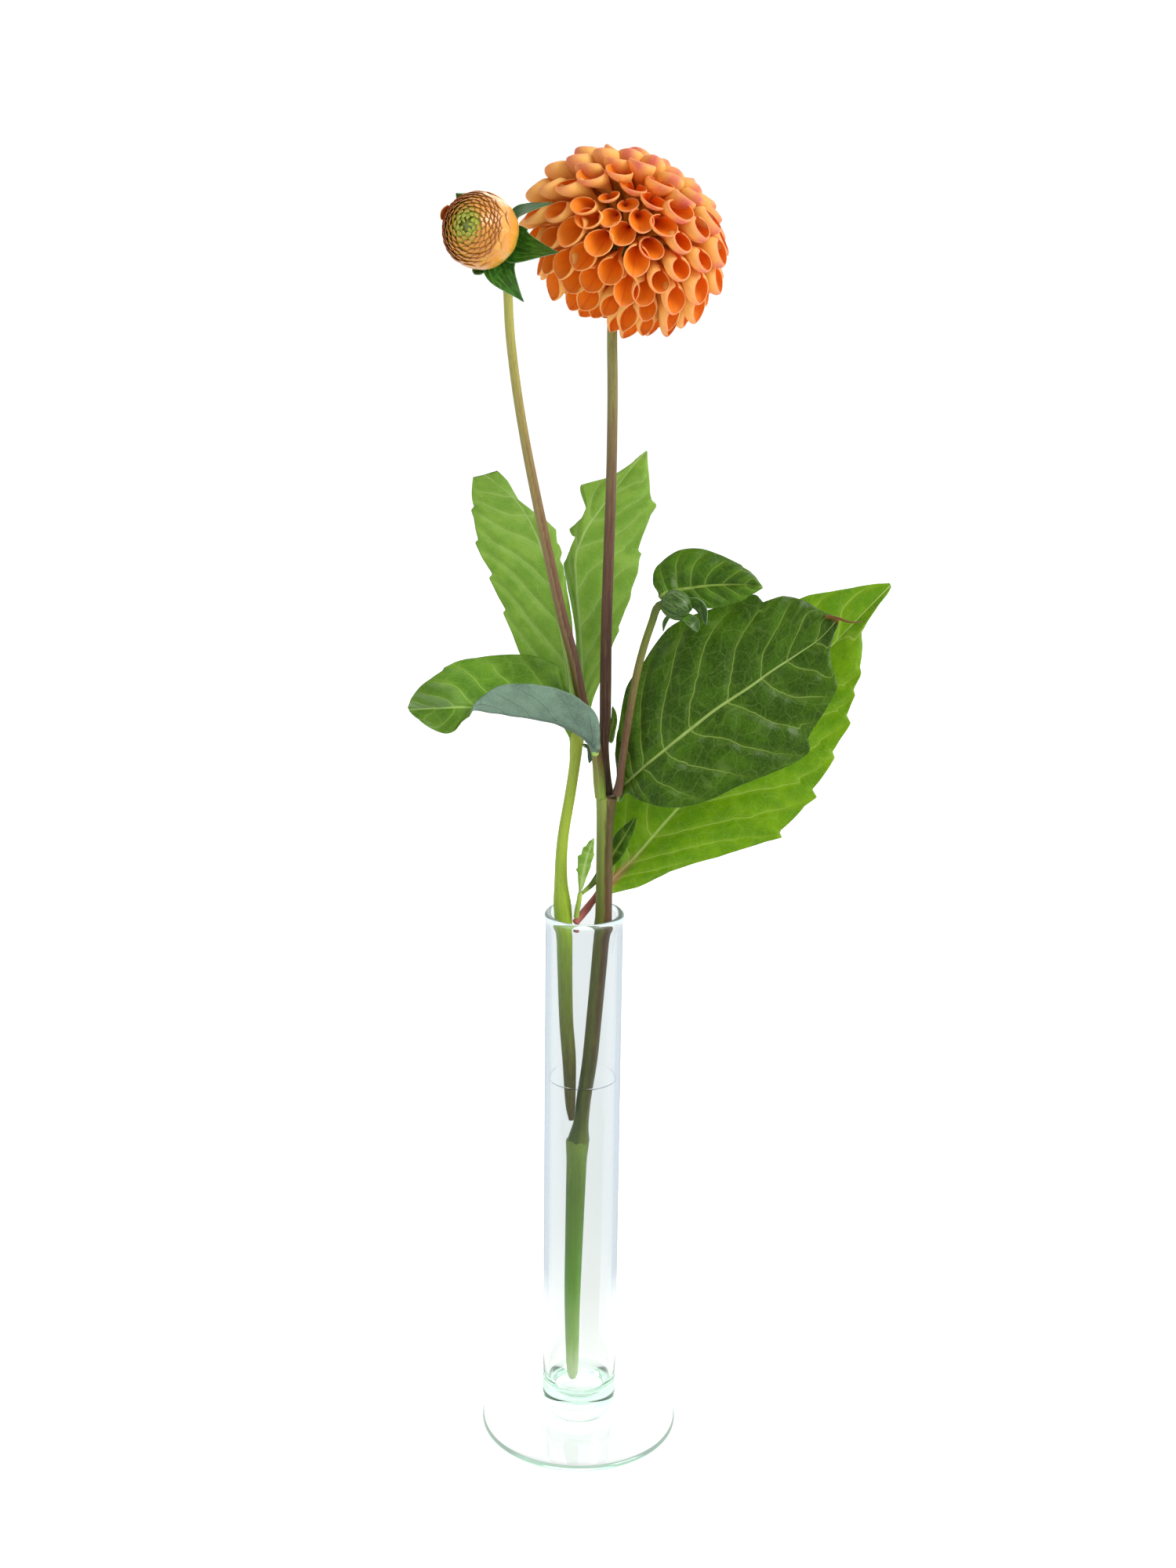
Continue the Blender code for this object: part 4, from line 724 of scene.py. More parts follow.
def leaf(name):
    mat, slot, n, m, arch, quilt, waves = LEAF_LOOKS[name]
    near, middle, far = LEAVES[name]
    seed = sum(map(ord, name))
    t = np.linspace(0, 1, n)
    k = np.linspace(-1, 1, m)
    q = np.sign(k) * (1 - (1 - np.abs(k)) ** 1.12)  # columns a little closer at the margins
    a, c, b = route(near, t), route(middle, t), route(far, t)
    left, right = MARGINS.get(name, ([(0, 1), (1, 1)],) * 2)
    fa = np.interp(t, *zip(*left))
    fb = np.interp(t, *zip(*right))
    T, Q = np.meshgrid(t, q, indexing="ij")
    A = np.abs(Q)
    # teeth only stretch the outer part of the blade
    reach = np.where(Q < 0, fa[:, None], fb[:, None])
    S = A * (1 + (reach - 1) * smooth(A, 0.35, 1.0))
    arm = np.where((Q < 0)[..., None], (a - c)[:, None, :], (b - c)[:, None, :])
    P = c[:, None, :] + arm * S[..., None]
    width = np.linalg.norm(arm, axis=-1)
    normal = unit(np.cross(np.gradient(P, axis=0), np.gradient(P, axis=1)))
    # smooth the normals across the midrib so that relief doesn't tear there
    for _ in range(6):
        normal[:, 1:-1] = unit(normal[:, :-2] + 2 * normal[:, 1:-1] + normal[:, 2:])
    # seen from the front the blade's upper skin faces the other way to this normal
    upper = -normal
    along = np.concatenate([[0], np.cumsum(np.linalg.norm(np.diff(c, axis=0), axis=1))])
    X = np.broadcast_to(along[:, None], T.shape)
    Y = np.sign(Q) * S * width
    ends = smooth(T, 0.0, 0.12) * smooth(T, 1.0, 0.9)
    P = P + upper * (arch * (4 * A * (1 - A)) * ends)[..., None]
    # lateral veins as whole numbers of a phase that grows along the blade
    if name in LATERALS:
        start, end_a, end_b = (np.array(x) for x in LATERALS[name])
        curve = 0.72 * A + 0.28 * A * A
        phase = np.zeros_like(T)
        number = np.arange(1, len(start) + 1, dtype=float)
        for j in range(m):
            end = end_a if q[j] < 0 else end_b
            line = start + (end - start) * curve[0, j] + 0.006 * np.sin(9 * A[0, j] + number * 2.1)
            line = np.concatenate([[line[0] - 0.16], line, [line[-1] + 0.12]])
            phase[:, j] = np.interp(t, line, np.arange(len(line)), left=0.5, right=len(line) - 0.5)
    else:
        phase = T * 5
    gx = np.gradient(phase, axis=0) / np.maximum(np.gradient(X, axis=0), 1e-3)
    gy = np.gradient(phase, axis=1) / np.where(np.abs(np.gradient(Y, axis=1)) < 1e-3, 1e-3, np.gradient(Y, axis=1))
    gap = np.clip(1 / np.maximum(np.hypot(gx, np.clip(gy, -1, 1)), 0.05), 2.0, 16.0)
    for _ in range(12):
        gap[1:-1] = (gap[:-2] + 2 * gap[1:-1] + gap[2:]) / 4
        gap[:, 1:-1] = (gap[:, :-2] + 2 * gap[:, 1:-1] + gap[:, 2:]) / 4
    cell = np.abs(np.sin(math.pi * phase))
    lift = quilt * (cell ** 0.6 - 0.55) * smooth(A, 0.02, 0.2) * smooth(A, 1.0, 0.8) * ends
    lift += 0.25 * quilt * ripple(X * 0.55, Y * 0.55, seed + 3, 8, 0.8, 2.0) * ends
    lift += waves * ripple(X * 0.11, Y * 0.05, seed, 5, 0.7, 1.8) * smooth(A, 0.4, 1.0) * ends
    # the midrib is a shallow groove above and a ridge below
    groove = np.exp(-(Y / (0.7 * (1 - 0.6 * T))) ** 2)
    lift -= 0.22 * groove * ends
    lift = lift * smooth(width, 1.5, 4.0)
    P = P + upper * lift[..., None]
    thick = 0.30 + 1.3 * np.exp(-(Y / (0.95 * (1 - 0.7 * T) + 0.05)) ** 2) * (1 - 0.75 * T) * smooth(T, 1.0, 0.9)
    thick = np.minimum(thick, 0.12 + width * 0.5)
    # where the blade is as narrow as a stalk it is one
    stalk = (1 - smooth(width, 1.4, 3.0)) * smooth(T, 0.35, 0.20)
    thick = thick + stalk * 0.7 * np.sqrt(np.clip(1 - A ** 2, 0, 1))
    v, f, index, side = slab(P[:, ::-1], thick[:, ::-1], share=0.75)
    flip = lambda x: x[:, ::-1].ravel()[index]
    margin = (1 - A) * width
    pile = Pile()
    pile.add(v, f,
             la=np.stack([flip(T), flip(Q), side], 1),
             lb=np.stack([flip(phase), flip(gap), flip(margin)], 1),
             lc=np.stack([flip(X), flip(Y), np.full(len(index), (seed % 97) / 97)], 1))
    if name == "leaf_front_right":
        # the dry tip has curled to a brown point
        hook = route([(84.0, 15.2, 316.6), (88.0, 13.6, 316.2), (92.0, 12.6, 315.2), (96.4, 12.2, 315.4)], np.linspace(0, 1, 24))
        hv, hf, hu, _ = tube(hook, np.linspace(0.8, 0.14, 24), around=14, ribs=0.16, rib_count=3, twist=0.8)
        pile.add(hv, hf,
                 la=np.stack([np.full(len(hv), 1.0), np.zeros(len(hv)) + 0.5, np.ones(len(hv))], 1),
                 lb=np.stack([np.full(len(hv), 0.5), np.full(len(hv), 8.0), np.full(len(hv), 3.0)], 1),
                 lc=np.stack([hu * 20, hu * 3, np.full(len(hv), 0.4)], 1))
    if name in STALKS:
        # the stalk is round below the blade and runs on as the back of the midrib
        upto, thick0, thick1, sink = STALKS[name]
        ts = np.linspace(0, upto, 40)
        line = route(middle, ts)
        mid_n = upper[np.clip((ts * (n - 1)).astype(int), 0, n - 1), m // 2]
        r = thick0 + (thick1 - thick0) * ts / upto
        line = line - mid_n * (r * sink * smooth(ts, 0.0, upto))[:, None]
        sv, sf, su, _ = tube(line, r, around=18, ribs=0.02)
        pile.add(sv, sf,
                 la=np.stack([su * upto, np.zeros(len(sv)), np.ones(len(sv))], 1),
                 lb=np.stack([np.full(len(sv), 0.5), np.full(len(sv), 8.0), np.full(len(sv), 3.0)], 1),
                 lc=np.stack([su * 40, np.zeros(len(sv)), np.full(len(sv), (seed % 97) / 97)], 1))
    return pile.piece("v_" + name, mat, slot, (name,))


# how far the round stalk follows the leaf, its radius at the foot and the end, how deep it runs behind the blade
STALKS = {
    "leaf_big_right": (0.42, 1.35, 0.55, 0.9),
    "leaf_front_right": (0.30, 1.15, 0.6, 0.9),
    "leaf_folded": (0.30, 1.25, 0.6, 0.6),
    "leaf_back_left": (0.30, 1.2, 0.5, 0.9),
    "leaf_back_right": (0.30, 1.2, 0.5, 0.9),
    "leaf_small_top": (0.25, 0.9, 0.4, 0.9),
    "shoot_leaf_dark": (0.45, 0.7, 0.35, 0.9),
    "shoot_leaf_pale": (0.35, 0.6, 0.3, 0.9),
}


# ================================================================ the bloom
HEAD_CENTRE = np.array((11.0, 4.0, 446.0))
HEAD_TILT, HEAD_TURN = 27.0, -3.5
HALF = np.array((29.0, 31.0, 34.5))  # along the axis, up, right
CORE_BACK = 3.0


def head_frame():
    t, h = math.radians(HEAD_TILT), math.radians(HEAD_TURN)
    axis = unit((math.sin(h) * math.cos(t), -math.cos(h) * math.cos(t), math.sin(t)))
    right = unit(np.cross(axis, (0, 0, -1)))
    right = right if right[0] > 0 else -right
    up = unit(np.array((0, 0, 1)) - axis[2] * axis)
    return axis, up, right


AXIS, UP, RIGHT = head_frame()
CORE = HEAD_CENTRE - CORE_BACK * AXIS
BASIS = np.array([AXIS, UP, RIGHT])


def head_dir(theta, phi):
    th, ph = math.radians(theta), math.radians(phi)
    return math.cos(th) * AXIS + math.sin(th) * (math.cos(ph) * UP + math.sin(ph) * RIGHT)


def head_reach(d):
    """Distance from the receptacle to the bloom's rounded outside along a direction."""
    v = BASIS @ d / HALF
    o = np.array((-CORE_BACK, 0, 0)) / HALF
    a, b, c = v @ v, 2 * o @ v, o @ o - 1
    return (-b + math.sqrt(b * b - 4 * a * c)) / (2 * a)


# florets whose place was read off: polar angle and azimuth from straight up, clockwise
SEEN = [(17.9, 178), (27.7, 212), (23.7, 252), (37.1, 248), (32.8, 143), (35.5, 164), (42.3, 190), (41.5, 221),
        (52.3, 133), (53.4, 150), (53.2, 205), (54.5, 231), (54.3, 176), (68.2, 145), (66.0, 221), (71, 163), (70, 188),
        (54.4, 323), (50.0, 343), (25.0, 353), (29.4, 316), (38.9, 296), (12.5, 308), (25.9, 273), (35.3, 19), (17.5, 22)]
STEM_DIR = (121.0, 190.5)


def floret_places(count=141):
    """Places of the florets on the bloom, from the eye backwards: the ones read off stay, the others
    start on a golden-angle spiral and push each other apart."""
    def spacing(c):
        th = np.degrees(np.arccos(np.clip(c, -1, 1)))
        return np.radians(12.5 + 4.8 * smooth(th, 0, 30))

    fixed = np.array([head_dir(*p) for p in SEEN])
    # spiral with the wanted density
    edge = np.linspace(0, 139, 1400)
    mid = np.radians((edge[1:] + edge[:-1]) / 2)
    area = 2 * math.pi * (np.cos(np.radians(edge[:-1])) - np.cos(np.radians(edge[1:])))
    number = np.concatenate([[0], np.cumsum(area / (0.866 * spacing(np.cos(mid)) ** 2))])
    number *= count / number[-1]
    spiral = np.array([head_dir(np.interp(i + 0.5, number, edge), 18 + 137.508 * i) for i in range(count)])
    # drop the spiral place nearest to each fixed one
    keep = np.ones(count, bool)
    for p in fixed:
        near = np.where(keep, spiral @ p, -2)
        keep[near.argmax()] = False
    free = spiral[keep]
    stem = head_dir(*STEM_DIR)
    for step in range(160):
        all_ = np.concatenate([fixed, free, stem[None]])
        want = spacing(free @ AXIS)[:, None] * np.ones(len(all_))
        cos = np.clip(free @ all_.T, -1, 1)
        ang = np.arccos(cos)
        close = np.where(ang < 1e-4, 0, np.clip(1.25 * want - ang, 0, None) / want)
        push = ((free[:, None, :] - all_[None]) / np.maximum(ang, 1e-3)[..., None] * (close ** 1.5)[..., None]).sum(1)
        # keep the skirt within its last ring
        over = np.clip(np.degrees(np.arccos(np.clip(free @ AXIS, -1, 1))) - 134, 0, None)
        push += AXIS * (over / 6)[:, None]
        free = unit(free + 0.02 * push)
    places = np.concatenate([fixed, free])
    order = np.argsort(-(places @ AXIS))
    return places[order]


def floret(pile, d, reach, face, wide, depth, close, drop, point, keel, lean, rnd, pink, base=6.6, hollow=11.0, roll=0.0, dome=0.0, round_=2.6):
    """One floret: a petal whose margins curl round to a slit, so that it makes a cup with an oblique
    mouth. d is its direction from the receptacle, reach its length from there, face the direction its
    slit looks to, wide and depth the mouth's size across and along that, close the half angle the
    margins reach, drop how far they end behind the tip, hollow the depth of the cup, dome how much
    the petal closes again over its mouth and round_ how far back that starts."""
    pole = unit(face - (face @ d) * d)
    side = np.cross(d, pole)
    rows = reach - np.array([0, 0.2, 0.5, 0.9, 1.4, 2.1, 2.9, 3.8, 4.8, 6.0, 7.4, 9.0, 11.0, 13.4, 16.5, 20.0])
    rows = rows[rows > base + 1.0]
    rows = np.concatenate([rows, [base]])[::-1]
    v = np.array([-1, -0.985, -0.95, -0.89, -0.81, -0.71, -0.60, -0.48, -0.35, -0.22, -0.11, -0.035, 0.035, 0.11, 0.22, 0.35, 0.48, 0.60, 0.71, 0.81, 0.89, 0.95, 0.985, 1])
    av = np.abs(v)
    # outline of the mouth: cut obliquely, with a blunt point at the midrib
    slope = (1 - np.cos(av * math.radians(close))) / 2
    short = drop * ((1 - point) * slope + point * av) + 0.35 * smooth(av, 0.90, 1.0) ** 2
    length = reach - base
    scale = ((reach - short[None, :]) - base) / length
    dist = base + (rows - base)[:, None] * scale  # each column runs to its own end
    u = (dist - base) / length
    deep_in = np.maximum(reach - dist, 0)
    full = 0.13 + 0.87 * (1 - smooth(deep_in, -1.0, hollow + 1.5))
    to_end = np.maximum((reach - short[None, :]) - dist, 0)
    over = 1 - dome * (1 - np.sqrt(np.clip(1 - np.clip(1 - to_end / round_, 0, 1) ** 2, 0, 1)))
    turn = np.radians(176 - (176 - close) * smooth(deep_in, 0.7 * hollow + drop * 0.5, drop * 0.5))
    ang = v[None, :] * turn * (1 + lean * np.sign(v)[None, :])
    tight = 1 - 0.12 * smooth(np.abs(ang), 1.6, 2.9)
    a, b = 0.5 * wide * full * over, 0.5 * depth * full * over
    x = a * np.sin(ang) * tight
    z = -b * np.cos(ang) * tight - keel * np.exp(-(ang / 0.36) ** 2) * smooth(deep_in, hollow, 0.0)
    # the back of the cup sweeps up to the slit side, which stays straight
    z = z + 0.5 * depth * 0.80 * (1 - full) * smooth(dist, base, base + 9.0)
    # the lip turns in or out
    z = z + roll * np.exp(-deep_in / 2.2)
    x = x + 0.05 * a * np.sin(5.0 * u + 6.28 * rnd) * smooth(av[None, :], 0.5, 1.0)
    z = z + 0.05 * b * np.sin(4.0 * u + 9.0 * rnd + 2.4 * v[None, :])
    P = CORE + dist[..., None] * d + x[..., None] * side + z[..., None] * pole
    verts, faces, index, sd = slab(P, 0.32)
    # the skin that looks into the cup is the inner one
    mid = P.shape[1] // 2
    nrm = np.cross(P[-4, mid] - P[-6, mid], P[-5, mid + 1] - P[-5, mid - 1])
    if nrm @ pole < 0:
        sd = 1 - sd
    U = u.ravel()[index]
    V = np.broadcast_to(v[None, :], P.shape[:2]).ravel()[index]
    to_tip = np.broadcast_to((reach - short[None, :]) - dist, P.shape[:2]).ravel()[index]
    to_side = ((1 - av)[None, :] * turn * a).ravel()[index]
    pile.add(verts, faces,
             fa=np.stack([U, V, sd], 1),
             fb=np.stack([np.full(len(U), rnd), np.full(len(U), pink), np.minimum(to_tip, to_side)], 1))


RISE = np.array((0.34, 0.0, 0.94))  # the florets open upwards and a little to the right
FRONT = np.array((0.0, -1.0, 0.0))


def bloom():
    g = np.random.default_rng(7)
    places = floret_places()
    stem = head_dir(*STEM_DIR)
    light = unit(0.75 * RIGHT + 0.55 * UP + 0.1 * AXIS)
    piles, specs = {}, []
    total = len(places)
    for i, d in enumerate(places):
        th = math.degrees(math.acos(max(-1, min(1, d @ AXIS))))
        ph = math.degrees(math.atan2(d @ RIGHT, d @ UP))
        rnd = g.random()
        jitter = g.uniform(-1, 1, 8)
        gap = math.degrees(math.acos(max(-1, min(1, d @ stem))))
        if gap < 10:
            continue
        # the head leans: fuller at the upper left and lower right
        skew = 1 + 0.085 * math.sin(math.radians(th)) ** 2 * math.cos(2 * math.radians(ph - 135))
        reach = head_reach(d) * skew * (0.90 + 0.10 * smooth(th, 4, 28)) * (1 + 0.02 * jitter[0])
        if th > 104:
            reach *= 1.02
        if gap < 20:
            reach *= 0.90
        young = 1 - smooth(th, 6, 26)
        low = smooth(-d[2], 0.25, 0.85)
        back = smooth(d[1], -0.10, 0.40)
        upper = smooth(math.cos(math.radians(ph)), -0.30, 0.55)
        right = smooth(math.sin(math.radians(ph)), 0.15, 0.90)
        lower = smooth(-math.cos(math.radians(ph)), -0.35, 0.55)
        shut = smooth(th, 24, 50) * max(upper, 0.75 * right) * (1 - 0.6 * low)
        pinch = smooth(-d[2], 0.45, 0.85)
        stray = (0.16 + 0.5 * young) * jitter[5] * RIGHT + 0.5 * young * jitter[6] * UP
        hood = shut * upper
        face = unit((1 - back) * (RISE + (0.75 * low - 0.8 * hood) * FRONT + 0.30 * low * RIGHT) + back * AXIS + stray)
        wide = 11.2 * (1 - 0.14 * young - 0.20 * pinch) * (1 + 0.09 * jitter[1])
        depth = 10.6 * (1 - 0.16 * young) * (1 + 0.09 * jitter[6])
        close = 160 + 8 * pinch + 12 * shut + 6 * jitter[2]
        drop = 4.2 - 0.8 * shut * (1 - upper) + 1.2 * low * (1 - pinch) + 0.8 * jitter[3]
        under = smooth(th, 30, 52) * lower * (1 - shut)
        point = 0.10 + 0.26 * under + 0.12 * pinch + 0.10 * jitter[4]
        keel = 0.30 + 0.35 * under + 0.70 * pinch
        dome = 0.10 + 0.34 * shut + 0.08 * young + 0.10 * under + 0.22 * pinch
        pink = float(np.clip(0.50 + 0.42 * (d @ light) + 0.22 * jitter[7], 0.05, 1.0))
        ring = 0 if i < 5 else 1 + (i - 5) * 11 // (total - 5)
        specs.append([ring, d, reach, face, wide, depth, close, drop, point, keel, 0.05 * jitter[2], rnd, pink,
                      12.0 + 4.0 * low + 8.0 * shut - 5.5 * young, 0.3 - 0.3 * low, dome, 2.8 + 2.2 * shut + 2.0 * under])
    # a floret whose keel would come through its neighbour's cup is slimmer there
    for step in range(6):
        for a in specs:
            d, reach, face, depth, keel = a[1], a[2], a[3], a[5], a[9]
            pole = unit(face - (face @ d) * d)
            backs = [(reach - k) * d - pole * (depth * 0.5 * (1 - 0.5 * a[15] * (k < 1)) + keel) for k in (0.2, 1.2, 2.6)]
            for b in specs:
                if b is a or b[1] @ d < 0.80:
                    continue
                up = unit(b[3] - (b[3] @ b[1]) * b[1])
                across = np.cross(b[1], up)
                hit = False
                for q in backs:
                    deep = b[2] - q @ b[1]
                    if 0.3 < deep < b[13]:
                        full = 0.13 + 0.87 * (1 - smooth(deep, -1.0, b[13] + 1.5))
                        hit |= (q @ across / (0.5 * b[4] * full)) ** 2 + (q @ up / (0.5 * b[5] * full)) ** 2 < 0.96
                if hit:
                    a[5] *= 0.955
                    a[9] *= 0.80
                    a[2] -= 0.18
                    break
    for ring, d, reach, face, wide, depth, close, drop, point, keel, lean, rnd, pink, hollow, roll, dome, round_ in specs:
        floret(piles.setdefault(ring, Pile()), d, reach, face, wide, depth, close, drop, point, keel, lean, rnd, pink,
               hollow=hollow, roll=roll, dome=dome, round_=round_)
    for ring, pile in sorted(piles.items()):
        if ring == 0:
            pile.piece("v_bloom_eye", FLORET, "bloom_floret", ("bloom_eye",))
        else:
            pile.piece(f"v_floret_ring_{ring:02d}", FLORET, "bloom_floret", (f"floret_ring_{ring:02d}",))


def blob(centre, axis, radii, segments=40, rings=24, bumps=0.0, seed=1):
    """A closed oval body about an axis, as vertices, faces and a unit normal for each vertex."""
    axis = unit(axis)
    a = unit(np.cross(axis, (0.3, 0.2, 0.9)))
    b = np.cross(axis, a)
    th = np.linspace(0, math.pi, rings + 1)[1:-1]
    ph = np.linspace(0, 2 * math.pi, segments, endpoint=False)
    T, F = np.meshgrid(th, ph, indexing="ij")
    d = np.stack([np.sin(T) * np.cos(F), np.sin(T) * np.sin(F), np.cos(T)], -1)
    scale = 1 + bumps * ripple(3 * d[..., 0] + 2 * d[..., 1], 3 * d[..., 2] + d[..., 1], seed)
    r = np.where(d[..., 2] > 0, radii[1], radii[2])
    local = np.stack([d[..., 0] * radii[0], d[..., 1] * radii[0], d[..., 2] * r], -1) * scale[..., None]
    frame_ = np.stack([a, b, axis])
    pts = local.reshape(-1, 3) @ frame_ + centre
    verts = np.concatenate([[centre + axis * radii[1]], pts, [centre - axis * radii[2]]])
    faces = []
    for k in range(segments):
        j = (k + 1) % segments
        faces.append((0, 1 + k, 1 + j))
        for i in range(rings - 2):
            o = 1 + i * segments
            faces.append((o + k, o + segments + k, o + segments + j, o + j))
        o = 1 + (rings - 2) * segments
        faces.append((len(verts) - 1, o + j, o + k))
    return verts, faces, unit(verts - centre)


def receptacle():
    mat = stem_material("receptacle_skin", (0.0, "#7C9A30"), (1.0, "#9AB048"))
    v, f, n = blob(CORE, AXIS, (6.0, 6.0, 6.0))
    pile = Pile()
    pile.add(v, f, sa=np.stack([n @ AXIS * 0.5 + 0.5, n[:, 0], n[:, 0] * 0], 1), sb=v)
    pile.piece("v_bloom_receptacle", mat, "receptacle", ("bloom_receptacle",))
    # small reflexed bracts behind the bloom
    pile = Pile()
    for k in range(6):
        ph = 190 + 30 + 60 * k
        base = CORE + 6.2 * head_dir(171, ph)
        mid = CORE + 8.6 * head_dir(150, ph)
        tip = CORE + 12.5 * head_dir(141, ph)
        bract_blade(pile, [base, mid, tip], 2.5, -head_dir(90, ph), 20 + k)
    pile.piece("v_bloom_calyx", BRACT, "receptacle", ("bloom_calyx",))


# ================================================================ bracts
BRACTS = {
    "bud_bract_upper": ((-28.4, -13.6, 449.6), (-21.6, -20.2, 455.2), (-12.5, -30, 458.6), 3.9, (-0.2, -0.6, 0.75)),
    "bud_bract_side": ((-27.2, -12.8, 446.6), (-21.8, -20.0, 443.8), (-10.5, -30, 443.4), 6.2, (-0.35, -0.85, 0.35)),
    "bud_bract_lower": ((-30.4, -13.2, 442.2), (-28.4, -19.8, 435.2), (-21.5, -25, 427.5), 5.4, (-0.1, -0.9, 0.3)),
    "bud_bract_stub": ((-32.6, -12.4, 443.2), (-36.8, -18.8, 436.2), (-37.4, -21.6, 435.6), 2.0, (0.1, -0.7, 0.6)),
    "bud_bract_back": ((-33.4, -11.4, 448.6), (-40.6, -13.8, 457.8), (-43.4, -19.0, 460.6), 4.4, (0.4, -0.7, -0.5)),
}
BUD_C = np.array((-35.5, -24.0, 449.5))
BUD_A = unit((-0.376, -0.893, 0.240))
BUD_R = 12.4
SIDE_BUD = np.array((29.9, -13.2, 326.4))


def bract_blade(pile, points, half, face, seed, around=None, n=44, m=21, thick=0.45, boat=0.16, tipped=0.84):
    pts = [np.array(p, float) for p in points]
    if around is not None:
        centre, radius = around
        lift = unit(unit(pts[0] - centre) + unit(pts[1] - centre))
        pts = [pts[0], centre + radius * lift] + pts[1:]
    t = np.linspace(0, 1, n)
    c = route(pts, t)
    d = unit(np.gradient(c, axis=0))
    look = np.broadcast_to(unit(face), c.shape)
    if around is not None:
        look = unit(unit(centre - c) * np.clip(1 - 1.6 * t, 0, None)[:, None] + look * np.clip(1.6 * t, None, 1)[:, None])
    side = unit(np.cross(d, look))
    up = np.cross(side, d)
    w = half * (0.22 + 0.78 * np.sin(math.pi * np.clip(0.10 + t * tipped, 0, 1)) ** 1.2)
    w = w * np.clip(1 - ((t - 0.45) / 0.55).clip(0, 1) ** 2.6, 0.02, 1)
    q = np.linspace(-1, 1, m)
    Q = np.sin(q * math.pi / 2)
    T, QQ = np.meshgrid(t, Q, indexing="ij")
    x = w[:, None] * QQ
    rise = boat * np.abs(QQ) ** 1.6 * w[:, None] + 0.05 * np.cos(QQ * 3 * 2 * math.pi) * smooth(T, 0.05, 0.3) * smooth(T, 1.0, 0.8)
    rise += 0.16 * ripple(T * 5, QQ * 2, seed) * smooth(T, 0.1, 0.5)
    P = c[:, None, :] + side[:, None, :] * x[..., None] + up[:, None, :] * rise[..., None]
    nrm = np.cross(P[n // 2 + 1, m // 2] - P[n // 2, m // 2], P[n // 2, m // 2 + 1] - P[n // 2, m // 2])
    flip = nrm @ up[n // 2] < 0
    if flip:
        P, x, QQ = P[:, ::-1], x[:, ::-1], QQ[:, ::-1]
    v, f, index, sd = slab(P, thick)
    X = np.broadcast_to((t * np.linalg.norm(np.diff(c, axis=0), axis=1).sum())[:, None], T.shape)
    pile.add(v, f,
             la=np.stack([T.ravel()[index], QQ.ravel()[index], sd], 1),
             lc=np.stack([X.ravel()[index], x.ravel()[index], np.full(len(index), (seed * 0.618) % 1)], 1))


def bud_petal(pile, centre, axis, up, right, tip_th, az, span, radius, wide, rnd, age, curl=0.0, thick=0.3, n=20, m=13, twist=0.0, back_r=None):
    """A young floret lying on the bud: it runs from the bud's back over its side to the tip."""
    t = np.linspace(0, 1, n) ** 0.85
    q = np.linspace(-1, 1, m)
    v = np.sin(q * math.pi / 2)
    th = np.radians(tip_th + span * (1 - t))
    short = (0.06 + 0.20 * wide / max(span * radius / 57.3, 1.0)) * (0.25 * np.abs(v) ** 1.2 + 0.75 * np.abs(v) ** 2.5)
    TT = t[:, None] * (1 - short[None, :])
    th = np.radians(tip_th + span * (1 - TT))
    grow = np.sin(math.pi * np.clip(0.16 + 0.56 * TT, 0, 1)) ** 0.8
    across = 0.5 * wide * grow * v[None, :]
    R = radius + curl * TT ** 3 + (back_r or 0.0) * (1 - TT)
    # convex across: the petal wraps round the body
    R = R - 0.08 * (across ** 2) / max(radius, 1) * 2
    ph = math.radians(az) + twist * (1 - TT) + across / np.maximum(radius * np.sin(np.clip(th, 0.35, math.pi - 0.35)), 2.0)
    d = np.cos(th)[..., None] * axis + np.sin(th)[..., None] * (np.cos(ph)[..., None] * up + np.sin(ph)[..., None] * right)
    P = centre + R[..., None] * d
    mid = m // 2
    nrm = np.cross(P[n // 2 + 1, mid] - P[n // 2, mid], P[n // 2, mid + 1] - P[n // 2, mid])
    vv = np.broadcast_to(v[None, :], TT.shape)
    if nrm @ d[n // 2, mid] > 0:
        P, TT, vv = P[:, ::-1], TT[:, ::-1], vv[:, ::-1]
    verts, faces, index, sd = slab(P, thick)
    to_side = ((1 - np.abs(vv)) * 0.5 * wide)
    pile.add(verts, faces,
             fa=np.stack([TT.ravel()[index], vv.ravel()[index], sd], 1),
             fb=np.stack([np.full(len(index), rnd), np.full(len(index), age), to_side.ravel()[index]], 1))


